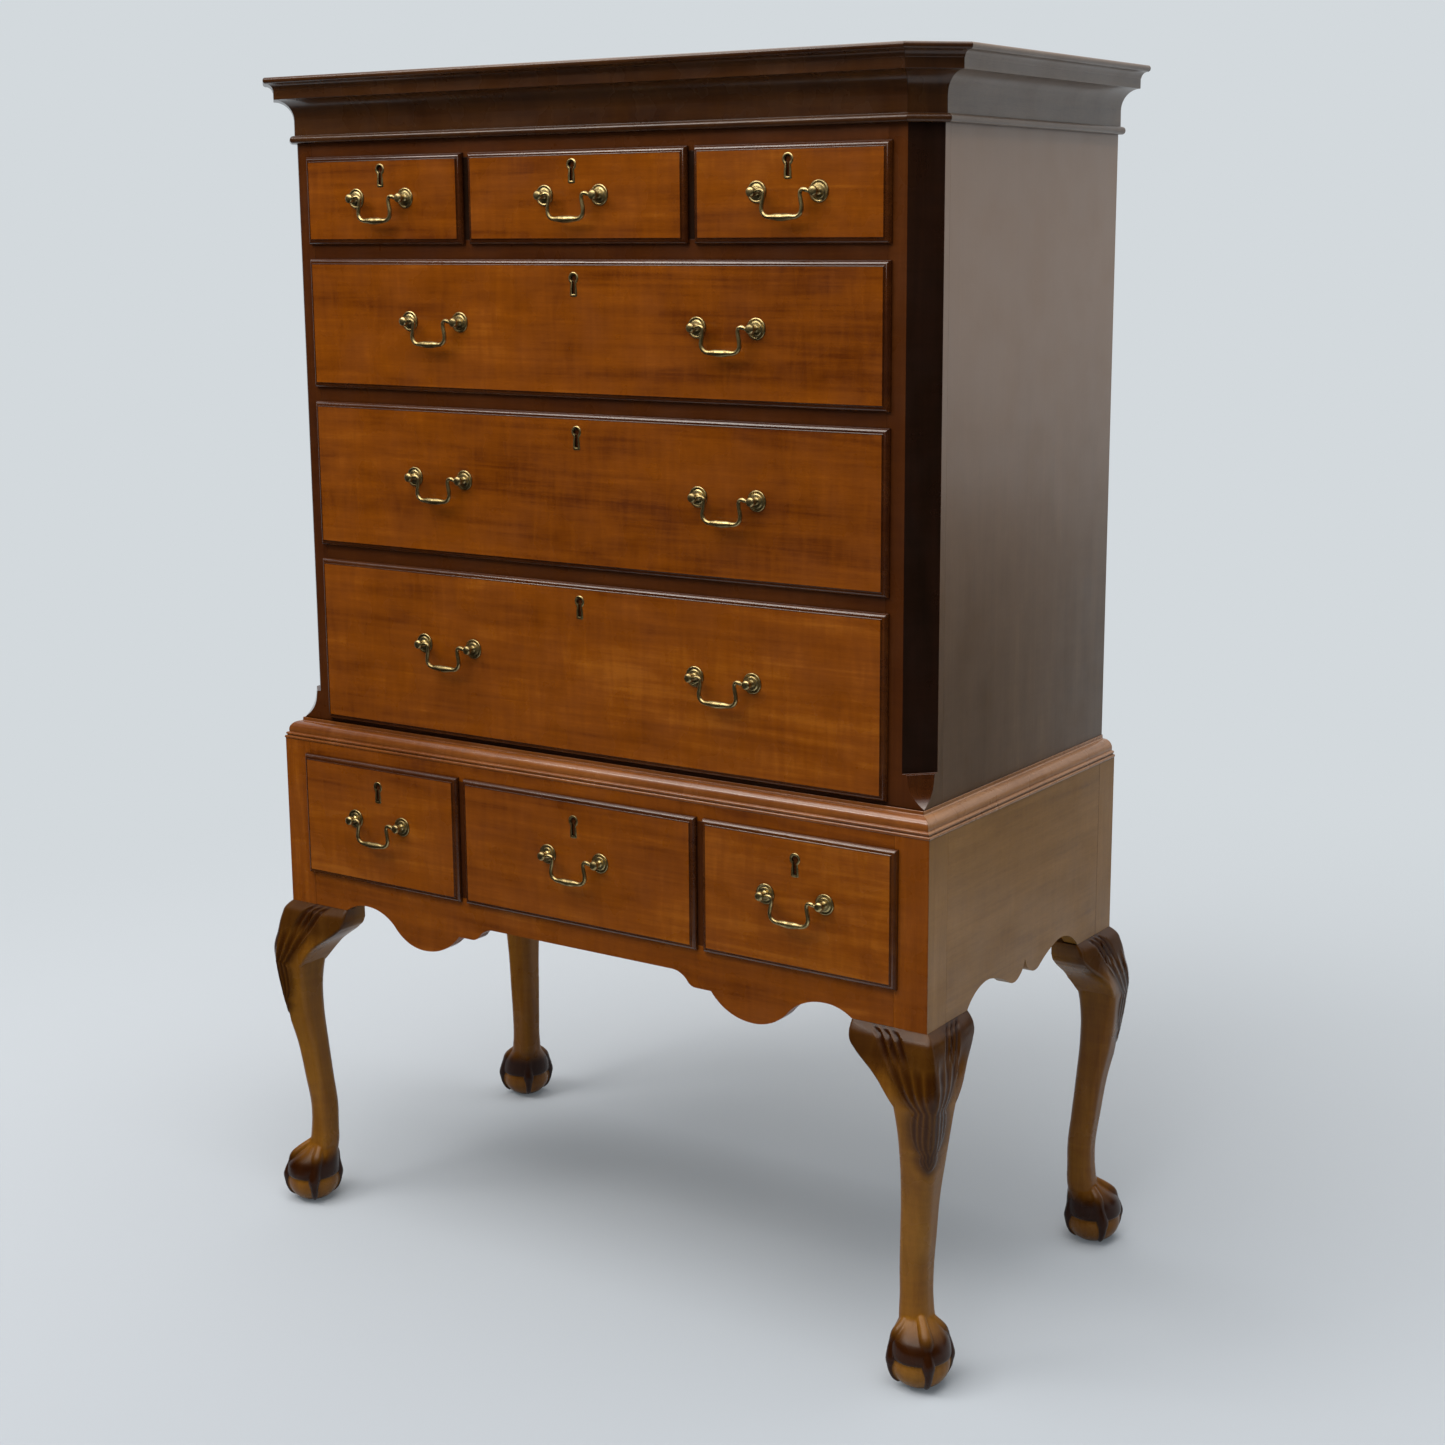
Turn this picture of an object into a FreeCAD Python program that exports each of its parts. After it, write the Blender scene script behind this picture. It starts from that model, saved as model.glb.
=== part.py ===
import FreeCAD, Part
import math
import os
from types import SimpleNamespace

import Sketcher
from FreeCAD import Placement, Rotation, Vector

# A highboy: a chest of six drawers with canted front corners, standing on a lower case of three drawers with
# four cabriole legs.  Millimetres.  x = 0 is the middle, the fronts face -Y, z = 0 is the floor.

SIZES = {
    # half widths and half depth of the cases, and the ledge between them
    "upper_half": 516,
    "depth_half": 266,
    "side_ledge": 20,
    "front_ledge": 23,
    # heights from the floor up; they add up to 1650
    "knee_top": 473,
    "apron_rise": 49.2,
    "lower_drawer": 179.2,
    "top_rail": 17.1,
    "ledge_height": 30,
    "bottom_gap": 4.5,
    "bottom_drawer": 234,
    "middle_drawer": 204,
    "top_drawer": 177.5,
    "small_drawer": 118.5,
    "row_gap": 19,
    "frieze_gap": 19,
    "cornice_height": 87,
    "cornice_reach": 43.7,
    # timber sizes
    "post_size": 48,
    "panel_thick": 20,
    "corner_post": 57,
    "rail_depth": 45,
    "cant_size": 32,
    "stop_rise": 41.5,
    "board_thick": 12,
    "floor_thick": 19.5,
    "runner_width": 22,
    "runner_thick": 20,
    "guide_rise": 20,
    # drawers
    "lower_middle_half": 195.4,
    "small_middle_half": 175.5,
    "lip_gap": 10.3,
    "lip_overlap": 6,
    "lip_thick": 7.5,
    "thumb_radius": 7,
    "field_margin": 8,
    "field_stand": 9,
    "front_body": 14,
    "side_thick": 11,
    "bottom_thick": 8,
    "bottom_rise": 8,
    "groove_depth": 5,
    "side_clearance": 1.5,
    "top_clearance": 3,
    "front_lift": 1,
    "back_gap": 20,
    "back_drop": 4,
    # locks and keyholes
    "lock_half": 25,
    "lock_drop": 13,
    "lock_depth": 9,
    "key_drop_small": 26.5,
    "key_drop_long": 31,
    "key_drop_lower": 39,
    "key_radius": 4.8,
    "key_tail": 13,
    "ring_width": 2,
    "inlay_depth": 5,
    # pulls
    "boring": 88,
    "bail_stand": 14,
    "bail_drop": 30.8,
    "head_half": 6,
    "rosette_radius": 13.5,
    "pin_radius": 1.65,
    "bore_radius": 1.7,
    "shank_size": 4.8,
    "nut_size": 10,
    "nut_thick": 4,
    # how far the long drawers' pulls stand from the middle, as a part of the opening's half width
    "long_pull_part": 0.514,
    "bottom_pull_part": 0.497,
    # how far the pulls stand above the middle of their drawers
    "small_pull_rise": 2,
    "top_pull_rise": 6,
    "middle_pull_rise": 5,
    "bottom_pull_rise": 12,
    "lower_pull_rise": 6,
    # legs
    "foot_inset": 8.5,
    "ball_radius": 41,
    "ball_height": 32,
    "ball_rise": 33.5,
    "ear_length": 60,
    "ear_depth": 38,
    "ear_drop": 100,
}

doc = FreeCAD.newDocument("Highboy")
dims = doc.addObject("Spreadsheet::Sheet", "Dims")
for row_number, (alias, value) in enumerate(SIZES.items(), start=1):
    dims.set(f"A{row_number}", alias)
    dims.set(f"B{row_number}", str(value))
    dims.setAlias(f"B{row_number}", alias)
doc.recompute()


class Size(float):
    """A length that remembers its expression, so that what is worked out from it stays bound to the sheet."""

    def __new__(cls, value, text):
        size = super().__new__(cls, value)
        size.text = text
        return size

    def __add__(self, other):
        return Size(float(self) + float(other), f"({self.text} + {words(other)})")

    def __sub__(self, other):
        return Size(float(self) - float(other), f"({self.text} - {words(other)})")

    def __rsub__(self, other):
        return Size(float(other) - float(self), f"({words(other)} - {self.text})")

    def __mul__(self, other):
        return Size(float(self) * float(other), f"({self.text} * {words(other)})")

    def __truediv__(self, other):
        return Size(float(self) / float(other), f"({self.text} / {words(other)})")

    def __neg__(self):
        return Size(-float(self), f"(0 - {self.text})")

    __radd__ = __add__
    __rmul__ = __mul__


def words(number):
    return number.text if isinstance(number, Size) else f"({float(number)})"


D = SimpleNamespace(**{alias: Size(dims.get(alias), f"Dims.{alias}") for alias in SIZES})

# what follows from them
lower_half = D.upper_half + D.side_ledge
upper_front = D.depth_half - D.front_ledge
lower_top = D.knee_top + D.apron_rise + D.lower_drawer + D.top_rail
ledge_top = lower_top + D.ledge_height
rows = {"lower": (D.knee_top + D.apron_rise, D.knee_top + D.apron_rise + D.lower_drawer)}
level = ledge_top + D.bottom_gap
for row, height in (("bottom", D.bottom_drawer), ("middle", D.middle_drawer), ("top", D.top_drawer)):
    rows[row] = (level, level + height)
    level = level + height + D.row_gap
rows["small"] = (level, level + D.small_drawer)
cornice_bottom = rows["small"][1] + D.frieze_gap
cornice_top = cornice_bottom + D.cornice_height
openings = {row: (low + D.lip_overlap, high - D.lip_overlap) for row, (low, high) in rows.items()}

nodes = []


# ---------------------------------------------------------------- helpers


def bind(item, field, size):
    item.setExpression(field, words(size))


def place(item, across, along, up):
    for field, size in zip("xyz", (across, along, up)):
        bind(item, f".Placement.Base.{field}", size)


def board(label, across, along, up):
    """A plain board between pairs of bound coordinates."""
    box = doc.addObject("Part::Box", label)
    box.Label = label
    for field, (low, high) in zip(("Length", "Width", "Height"), (across, along, up)):
        bind(box, field, high - low)
    place(box, across[0], along[0], up[0])
    return box


def pair(label, across, along, up):
    """A board on the right and its twin on the left."""
    low, high = across
    return [board(f"{label}_right", across, along, up), board(f"{label}_left", (-high, -low), along, up)]


def cut(label, base, tool):
    piece = doc.addObject("Part::Cut", label)
    piece.Label = label
    piece.Base = base
    piece.Tool = tool
    return piece


def solid(label, shape, spot=None, turn=0.0):
    """A piece whose shape comes from Part's functions; spot holds its bound place."""
    piece = doc.addObject("Part::Feature", label)
    piece.Label = label
    piece.Shape = shape
    piece.Placement = Placement(Vector(), Rotation(Vector(0, 0, 1), turn))
    if spot:
        place(piece, *spot)
    return piece


def node(label, pieces):
    """Separate pieces that make up one sub-part."""
    group = doc.addObject("Part::Compound", label)
    group.Label = label
    group.Links = pieces
    nodes.append(group)
    return group


def body(label, spot=(0, 0, 0)):
    item = doc.addObject("PartDesign::Body", label)
    item.Label = label
    place(item, *spot)
    return item


def sketch_on(owner, name, plane, spot=(0, 0, 0)):
    """A sketch on one of the body's own planes, its origin moved to spot."""
    drawing = owner.newObject("Sketcher::SketchObject", name)
    planes = [item for item in owner.Origin.OriginFeatures if item.Role == plane]
    drawing.AttachmentSupport = [(planes[0], "")]
    drawing.MapMode = "FlatFace"
    for field, size in zip("xyz", spot):
        bind(drawing, f"AttachmentOffset.Base.{field}", size)
    return drawing


def rectangle(drawing, left, right, down, up):
    """A rectangle round the sketch's origin, each side at its own bound distance."""
    corners = [Vector(-1, -1), Vector(1, -1), Vector(1, 1), Vector(-1, 1)]
    for start, end in zip(corners, corners[1:] + corners[:1]):
        drawing.addGeometry(Part.LineSegment(start, end), False)
    for side in range(4):
        drawing.addConstraint(Sketcher.Constraint("Coincident", side, 2, (side + 1) % 4, 1))
        kind = "Vertical" if side % 2 else "Horizontal"
        drawing.addConstraint(Sketcher.Constraint(kind, side))
    spans = [
        ("left", "DistanceX", (0, 1, -1, 1), left),
        ("right", "DistanceX", (-1, 1, 1, 1), right),
        ("down", "DistanceY", (0, 1, -1, 1), down),
        ("up", "DistanceY", (-1, 1, 2, 1), up),
    ]
    for name, kind, ends, size in spans:
        number = drawing.addConstraint(Sketcher.Constraint(kind, *ends, 1.0))
        drawing.renameConstraint(number, name)
        bind(drawing, f"Constraints[{number}]", size)


def outline(drawing, start, steps):
    """A closed line of straight stretches (x, y) and arcs (through x, y, to x, y)."""
    here = Vector(*start)
    first = drawing.GeometryCount
    for step in steps:
        there = Vector(*step[-2:])
        if len(step) == 4:
            stretch = Part.Arc(here, Vector(*step[:2]), there)
        else:
            stretch = Part.LineSegment(here, there)
        number = drawing.addGeometry(stretch, False)
        drawing.addConstraint(Sketcher.Constraint("Block", number))
        here = there
    return first


def loop(drawing, points):
    outline(drawing, points[0], points[1:] + points[:1])


def pad(owner, drawing, length, back=False):
    feature = owner.newObject("PartDesign::Pad", drawing.Name + "_pad")
    feature.Profile = drawing
    feature.Reversed = back
    bind(feature, "Length", length)
    drawing.Visibility = False
    doc.recompute()
    return feature


def pocket(owner, drawing, length=None, back=False):
    """A pocket that must take material away; without a length it goes right through."""
    before = owner.Shape.Volume
    feature = owner.newObject("PartDesign::Pocket", drawing.Name + "_pocket")
    feature.Profile = drawing
    feature.Reversed = back
    if length:
        bind(feature, "Length", length)
    else:
        feature.Type = 1
    doc.recompute()
    if owner.Shape.Volume >= before - 1:
        raise RuntimeError(f"{feature.Label} cuts nothing")
    return feature


def mirrored(half):
    """Both halves of a lower edge, from its left end to its right end; half starts in the middle."""
    stretches = []
    here = half[0]
    for step in half[1:]:
        stretches.append((here, step))
        here = step[-2:]
    left = []
    for begin, step in reversed(stretches):
        middle = (-step[0], step[1]) if len(step) == 4 else ()
        left.append((*middle, -begin[0], begin[1]))
    start = (-here[0], here[1])
    return start, left + [step for begin, step in stretches]


def ring(centre, radius, sides, flat_axis, other_axis):
    """The corners of a regular polygon with its flats at the given distance."""
    reach = radius / math.cos(math.pi / sides)
    points = []
    for corner in range(sides):
        angle = 2 * math.pi * (corner + 0.5) / sides
        points.append(centre + flat_axis * (reach * math.cos(angle)) + other_axis * (reach * math.sin(angle)))
    return points


def flat_face(points):
    return Part.Face(Part.makePolygon(points + points[:1]))


def faceted(rings):
    """A solid of flat faces through rings of corners; a twisted stretch is folded along its diagonal."""
    faces = [flat_face(rings[0]), flat_face(rings[-1])]
    for near, far in zip(rings, rings[1:]):
        for index, start in enumerate(near):
            following = (index + 1) % len(near)
            quad = [start, near[following], far[following], far[index]]
            normal = (quad[1] - quad[0]).cross(quad[2] - quad[0]).normalize()
            if abs(normal.dot(quad[3] - quad[0])) < 1e-7:
                faces.append(flat_face(quad))
            else:
                faces += [flat_face(quad[:3]), flat_face([quad[0], quad[2], quad[3]])]
    shell = Part.makeShell(faces)
    piece = Part.makeSolid(shell)
    if piece.Volume < 0:
        piece.reverse()
    return piece


def tube(stations, normal, sides=6):
    """A bar along stations (point, radius) that bends in the plane with this normal."""
    rings = []
    last = len(stations) - 1
    for index, (centre, radius) in enumerate(stations):
        ahead = stations[min(index + 1, last)][0] - stations[max(index - 1, 0)][0]
        ahead.normalize()
        across = ahead.cross(normal)
        across.normalize()
        rings.append(ring(centre, radius, sides, across.cross(ahead), across))
    return faceted(rings)


def turned(stations, sides):
    """A turned piece about the Y axis from stations (y, radius)."""
    return faceted([ring(Vector(0, y, 0), radius, sides, Vector(1, 0, 0), Vector(0, 0, 1)) for y, radius in stations])


# ---------------------------------------------------------------- legs


def leg_section(height, side, corner, shift):
    """A square with rounded corners, its middle shifted towards the case's corner."""
    half = side / 2
    flat = half - corner * (2 - math.sqrt(2))
    middle = Vector(shift, -shift, height)
    points = []
    for quarter in range(4):
        turn = Rotation(Vector(0, 0, 1), 90 * quarter)
        points += [middle + turn.multVec(spot) for spot in (Vector(half, flat, 0), Vector(flat, half, 0))]
    return points


def leg_shape():
    """One leg with its post, about the middle of its foot; the case's corner is towards +x and -y."""
    edge = D.foot_inset
    post = Part.makeBox(
        D.post_size, D.post_size, lower_top - D.knee_top, Vector(edge - D.post_size, -edge, D.knee_top)
    )
    # height, side, corner radius and shift, as parts of the knee's height and of the post
    shape = [
        (1, 1, 0.08, edge / D.post_size - 0.5),
        (0.941, 1.25, 0.29, -0.14),
        (0.867, 1.46, 0.36, -0.03),
        (0.805, 1.29, 0.36, 0.06),
        (0.74, 1.145, 0.34, 0.075),
        (0.645, 1.01, 0.31, 0.012),
        (0.528, 0.865, 0.27, -0.125),
        (0.412, 0.815, 0.27, -0.23),
        (0.311, 0.79, 0.28, -0.315),
        (0.235, 0.805, 0.31, -0.302),
        (0.194, 0.87, 0.32, -0.28),
        (0.14, 1.02, 0.38, -0.17),
    ]
    shaft = faceted([leg_section(D.knee_top * up, *[D.post_size * part for part in parts]) for up, *parts in shape])
    discs = []
    for level in [0] + [D.ball_height + step * D.ball_rise for step in (-0.7, -0.32, 0.22, 0.66, 0.9)]:
        radius = D.ball_radius * math.sqrt(1 - ((level - D.ball_height) / D.ball_rise) ** 2)
        discs.append(ring(Vector(0, 0, level), radius, 12, Vector(1, 0, 0), Vector(0, 1, 0)))
    return post.fuse([shaft, faceted(discs)] + claws()).removeSplitter()


def claws():
    """Four claws that grip the ball: outwards, to both sides and inwards."""
    out = Vector(1, -1, 0).normalize()
    side = Vector(1, 1, 0).normalize()
    up = Vector(0, 0, 1)
    size = D.ball_radius
    # away from the leg, height and half thickness, as parts of the ball's radius
    front = [(-0.1, 2.24, 0.17), (0.41, 1.9, 0.22), (0.63, 1.66, 0.235), (0.78, 1.3, 0.17), (0.885, 1, 0.18)]
    rear = [(-0.8, 2.24, 0.2), (-0.82, 1.8, 0.2), (-0.85, 1.4, 0.175), (-0.885, 1, 0.18)]
    shapes = []
    for path in (front + [(0.6, 0.13, 0.07)], rear + [(-0.6, 0.13, 0.07)]):
        stations = [(out * (size * away) + up * (size * high), size * half) for away, high, half in path]
        shapes.append(tube(stations, side))
    flank = [(-0.36, 0.12, 2.34, 0.2), (-0.24, 0.46, 1.94, 0.22), (-0.15, 0.7, 1.65, 0.23), (-0.05, 0.85, 1.3, 0.17)]
    flank += [(0, 0.9, 1, 0.18), (0, 0.6, 0.13, 0.07)]
    for sign in (1, -1):
        stations = []
        for along, away, high, half in flank:
            stations.append((out * (size * along) + side * (sign * size * away) + up * (size * high), size * half))
        shapes.append(tube(stations, out))
    return shapes


def bent_face(stretches):
    return Part.Face(Part.Wire([stretch.toShape() for stretch in stretches]))


def ear_shape(leg):
    """The knee block beside a leg: a bracket whose face swells like the knee, fitted to the leg."""
    inner = D.foot_inset - D.post_size
    tip = inner - D.ear_length
    top = D.knee_top
    low = top - D.ear_drop
    long = D.ear_length
    overlap = inner + 0.28 * long

    def at(along, drop):
        return Vector(tip + along * long, 0, top - drop * D.ear_drop)

    bracket = bent_face(
        [
            Part.LineSegment(Vector(overlap, 0, top), at(0, 0)),
            Part.LineSegment(at(0, 0), at(0, 0.18)),
            Part.Arc(at(0, 0.18), at(0.458, 0.46), at(0.908, 0.67)),
            Part.Arc(at(0.908, 0.67), at(1.1, 0.83), at(1.28, 1)),
            Part.LineSegment(at(1.28, 1), Vector(overlap, 0, top)),
        ]
    ).extrude(Vector(0, 1.6 * D.ear_depth, 0))
    bracket.translate(Vector(0, -D.foot_inset - 0.7 * D.ear_depth, 0))
    face = -D.foot_inset
    back = D.ear_depth - D.foot_inset
    middle = top - 0.53 * D.ear_drop
    bulge = 0.55 * D.ear_depth
    swelling = bent_face(
        [
            Part.Arc(
                Vector(tip, face, top),
                Vector(tip, face - bulge / 2, top - 0.23 * D.ear_drop),
                Vector(tip, face - bulge, middle),
            ),
            Part.Arc(
                Vector(tip, face - bulge, middle),
                Vector(tip, face - 1.06 * bulge, top - 0.73 * D.ear_drop),
                Vector(tip, face - 0.86 * bulge, low),
            ),
            Part.LineSegment(Vector(tip, face - 0.86 * bulge, low), Vector(tip, back, low)),
            Part.LineSegment(Vector(tip, back, low), Vector(tip, back, top)),
            Part.LineSegment(Vector(tip, back, top), Vector(tip, face, top)),
        ]
    ).extrude(Vector(1.4 * long, 0, 0))
    fitted = bracket.common(swelling).cut(leg)
    return max(fitted.Solids, key=lambda piece: piece.Volume)


leg = leg_shape()
front_ear = ear_shape(leg)
side_ear = front_ear.mirror(Vector(), Vector(1, 1, 0))

corners = [
    ("front_right", 1, -1, 0, (front_ear, side_ear)),
    ("back_right", 1, 1, 90, (front_ear,)),
    ("back_left", -1, 1, 180, (side_ear,)),
    ("front_left", -1, -1, 270, (front_ear, side_ear)),
]
ears = []
for corner, across, along, turn, shapes in corners:
    spot = ((lower_half - D.foot_inset) * across, (D.depth_half - D.foot_inset) * along, 0)
    nodes.append(solid(f"{corner}_leg", leg, spot, turn))
    for number, shape in enumerate(shapes, start=1):
        ears.append(solid(f"{corner}_ear_{number}", shape, spot, turn))
node("knee_blocks", ears)

# ---------------------------------------------------------------- lower case

inner = lower_half - D.post_size
seam = D.knee_top
rise = D.apron_rise

# The front apron's lower edge, from the middle to the knee block: flat, a step, a deep lobe and an arch.
half_edge = [
    (0, seam + 0.315 * rise),
    (0.315 * inner, seam + 0.315 * rise),
    (0.342 * inner, seam + 0.24 * rise, 0.361 * inner, seam + 0.09 * rise),
    (0.373 * inner, seam - 0.03 * rise, 0.391 * inner, seam - 0.08 * rise),
    (0.440 * inner, seam - 0.08 * rise),
    (0.488 * inner, seam - 0.5 * rise, 0.566 * inner, seam - 0.72 * rise),
    (0.631 * inner, seam - 0.61 * rise, 0.687 * inner, seam - 0.18 * rise),
    (0.733 * inner, seam + 0.13 * rise, 0.793 * inner, seam + 0.255 * rise),
    (0.840 * inner, seam + 0.19 * rise, inner - D.ear_length, seam),
    (inner, seam),
]
apron = body("front_apron", (0, D.panel_thick - D.depth_half, 0))
drawing = sketch_on(apron, "apron_outline", "XZ_Plane")
start, edge_steps = mirrored(half_edge)
outline(drawing, start, edge_steps + [(inner, openings["lower"][0]), (-inner, openings["lower"][0]), start])
pad(apron, drawing, D.panel_thick)
nodes.append(apron)

# The side panels, with a notch in the middle of the lower edge and an arch on each side of it.
reach = D.depth_half - D.post_size
side_edge = [
    (0, seam + 0.49 * rise),
    (0.03 * reach, seam + 0.24 * rise, 0.073 * reach, seam + 0.09 * rise),
    (0.138 * reach, seam, 0.206 * reach, seam + 0.09 * rise),
    (0.32 * reach, seam + 0.325 * rise, 0.459 * reach, seam + 0.5 * rise),
    (0.64 * reach, seam + 0.345 * rise, reach - 0.95 * D.ear_length, seam),
    (reach, seam),
]
start, edge_steps = mirrored(side_edge)
for side, left_face in (("right", lower_half - D.panel_thick), ("left", -lower_half)):
    panel = body(f"lower_side_{side}", (left_face, 0, 0))
    drawing = sketch_on(panel, f"side_outline_{side}", "YZ_Plane")
    outline(drawing, start, edge_steps + [(reach, lower_top), (-reach, lower_top), start])
    pad(panel, drawing, D.panel_thick)
    nodes.append(panel)

between_y = (D.panel_thick - D.depth_half, D.depth_half - D.panel_thick)
front_y = (-D.depth_half, between_y[0])
nodes.append(board("lower_back", (-inner, inner), (between_y[1], D.depth_half), (D.knee_top, lower_top)))

low, high = openings["lower"]
upright_x = (D.lower_middle_half - D.lip_overlap, D.lower_middle_half + D.lip_gap + D.lip_overlap)
top_rail = board("lower_top_rail", (-inner, inner), front_y, (high, lower_top))
node("lower_drawer_dividers", [top_rail] + pair("lower_upright", upright_x, front_y, (low, high)))

tee_x = (upright_x[0] - D.runner_width, upright_x[1] + D.runner_width)
runner_x = (inner - D.runner_width, inner)
packing_x = (inner, lower_half - D.panel_thick)
runners = pair("lower_side_guide", packing_x, (-reach, reach), (low - D.runner_thick, low + D.guide_rise))
runners += pair("lower_tee_guide", upright_x, between_y, (low, low + D.guide_rise))
for name, across in (("side", runner_x), ("tee", tee_x)):
    runners += pair(f"lower_{name}_runner", across, between_y, (low - D.runner_thick, low))
    runners += pair(f"lower_{name}_kicker", across, between_y, (high, high + D.runner_thick))
node("lower_drawer_runners", runners)

# ---------------------------------------------------------------- mouldings


def profile_edges(origin, away, steps):
    """A closed profile of (reach, height) steps in the upright plane through origin that runs away from the case."""
    edges = []
    here = steps[-1]
    for step in steps:
        ends = [origin + away * reach + Vector(0, 0, height) for reach, height in (here, step[-2:])]
        if len(step) == 4:
            through = origin + away * step[0] + Vector(0, 0, step[1])
            edges.append(Part.Arc(ends[0], through, ends[1]).toShape())
        else:
            edges.append(Part.makeLine(ends[0], ends[1]))
        here = step[-2:]
    return edges


def moulding(label, profile, path, low, high):
    """Mitred lengths along a plan path; profile(index) gives each length's closed profile."""
    directions = [Vector(end[0] - begin[0], end[1] - begin[1], 0).normalize() for begin, end in zip(path, path[1:])]
    outward = [Vector(-ahead.y, ahead.x, 0) for ahead in directions]
    mitres = [outward[0]]
    for before, after in zip(outward, outward[1:]):
        mitres.append((before + after) * (1 / (1 + before.dot(after))))
    mitres.append(outward[-1])
    spare = 2 * D.corner_post
    inward = D.front_ledge + 1
    pieces = []
    for index, (begin, end) in enumerate(zip(path, path[1:])):
        ahead = directions[index]
        first = Vector(*begin, 0)
        last = Vector(*end, 0)
        edges = profile_edges(first - ahead * spare, outward[index], profile(index))
        bar = Part.Face(Part.Wire(edges)).extrude(ahead * ((last - first).Length + 2 * spare))
        plan = [
            first - mitres[index] * inward,
            first + mitres[index] * spare,
            last + mitres[index + 1] * spare,
            last - mitres[index + 1] * inward,
        ]
        wedge = flat_face([point + Vector(0, 0, low - 1) for point in plan]).extrude(Vector(0, 0, high - low + 2))
        pieces.append(solid(f"{label}_length_{index + 1}", bar.common(wedge).Solids[0]))
    node(label, pieces)


def waist_profile(index):
    """Two small beads at the foot, then a large ovolo under a fillet."""
    inner_face = -D.front_ledge if index == 1 else -D.side_ledge
    tall = D.ledge_height
    deep = D.side_ledge
    return [
        (0, lower_top),
        (0.05 * deep, lower_top + 0.03 * tall),
        (0.05 * deep, lower_top + 0.10 * tall),
        (0, lower_top + 0.13 * tall),
        (-0.1 * deep, lower_top + 0.15 * tall),
        (-0.03 * deep, lower_top + 0.2 * tall),
        (-0.03 * deep, lower_top + 0.27 * tall),
        (-0.2 * deep, lower_top + 0.32 * tall),
        (-0.275 * deep, lower_top + 0.63 * tall, -0.85 * deep, lower_top + 0.82 * tall),
        (-0.925 * deep, lower_top + 0.85 * tall),
        (-0.925 * deep, ledge_top),
        (inner_face, ledge_top),
        (inner_face, lower_top),
    ]


def cornice_profile(index):
    """Bead, frieze, large cove, fascia, small cove and a rounded nose."""
    low = cornice_bottom
    tall = D.cornice_height
    reach = D.cornice_reach
    return [
        (0.16 * reach, low),
        (0.23 * reach, low + 0.035 * tall),
        (0.23 * reach, low + 0.08 * tall),
        (0.16 * reach, low + 0.115 * tall),
        (0.07 * reach, low + 0.115 * tall),
        (0.07 * reach, low + 0.356 * tall),
        (0.25 * reach, low + 0.576 * tall, 0.686 * reach, low + 0.667 * tall),
        (0.686 * reach, low + 0.816 * tall),
        (0.767 * reach, low + 0.88 * tall, 0.943 * reach, low + 0.908 * tall),
        (reach, low + 0.931 * tall),
        (reach, low + 0.977 * tall),
        (0.954 * reach, cornice_top),
        (0, cornice_top),
        (0, low),
    ]


back = D.depth_half
waist_path = [(lower_half, back), (lower_half, -back), (-lower_half, -back), (-lower_half, back)]
moulding("waist_moulding", waist_profile, waist_path, lower_top, ledge_top)
right_side = [
    (D.upper_half, back),
    (D.upper_half, D.cant_size - upper_front),
    (D.upper_half - D.cant_size, -upper_front),
]
left_side = [(-across, along) for across, along in reversed(right_side)]
moulding("cornice", cornice_profile, right_side + left_side, cornice_bottom, cornice_top)

# ---------------------------------------------------------------- upper case

case_top = cornice_top - D.board_thick
upper_z = (lower_top, case_top)
rail_y = (-upper_front, D.rail_depth - upper_front)
run_y = (rail_y[1], back - D.board_thick)
inside = D.upper_half - D.panel_thick
nodes += pair("upper_side", (inside, D.upper_half), (rail_y[1], back), upper_z)


def stop_cutter(sign):
    """What is cut from a front corner: the cant, ending below in a shelf and a hollow that runs out square."""
    across = Vector(sign, 1, 0).normalize()
    away = Vector(sign, -1, 0).normalize()
    half_cant = D.cant_size / 2
    foot = Vector(sign * (D.upper_half - half_cant), half_cant - upper_front, 0)
    full = D.cant_size / math.sqrt(2)
    spare = D.corner_post
    top = cornice_top + spare
    rise = D.stop_rise
    steps = [
        (0, top),
        (0, ledge_top + rise),
        (0.22 * full, ledge_top + 0.976 * rise),
        (0.27 * full, ledge_top + 0.76 * rise),
        (0.49 * full, ledge_top + 0.35 * rise, full * 1.05, ledge_top),
        (full + spare, ledge_top),
        (full + spare, top),
    ]
    edges = profile_edges(foot - across * spare, away, steps)
    return Part.Face(Part.Wire(edges)).extrude(across * (2 * spare))


posts = []
blanks = pair("corner_post_blank", (D.upper_half - D.corner_post, D.upper_half), rail_y, upper_z)
for side, blank, sign in zip(("right", "left"), blanks, (1, -1)):
    posts.append(cut(f"corner_post_{side}", blank, solid(f"cant_cutter_{side}", stop_cutter(sign))))
node("upper_corner_posts", posts)

opening = D.upper_half - D.corner_post
rail_x = (-opening, opening)
upper_rows = ("bottom", "middle", "top", "small")
rails = [board("upper_bottom_rail", rail_x, rail_y, (lower_top, openings["bottom"][0]))]
for below, above in zip(upper_rows, upper_rows[1:]):
    rails.append(board(f"{above}_row_rail", rail_x, rail_y, (openings[below][1], openings[above][0])))
rails.append(board("frieze_board", rail_x, rail_y, (openings["small"][1], case_top)))
upright_x = (D.small_middle_half - D.lip_overlap, D.small_middle_half + D.lip_gap + D.lip_overlap)
rails += pair("small_upright", upright_x, rail_y, openings["small"])
node("upper_drawer_dividers", rails)

nodes.append(board("upper_bottom", (-inside, inside), run_y, (lower_top, lower_top + D.floor_thick)))
backs = []
step = (case_top - lower_top) / 4
for number in range(4):
    levels = (lower_top + step * number, lower_top + step * (number + 1))
    backs.append(board(f"back_board_{number + 1}", (-inside, inside), (run_y[1], back), levels))
node("upper_back_boards", backs)

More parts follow.
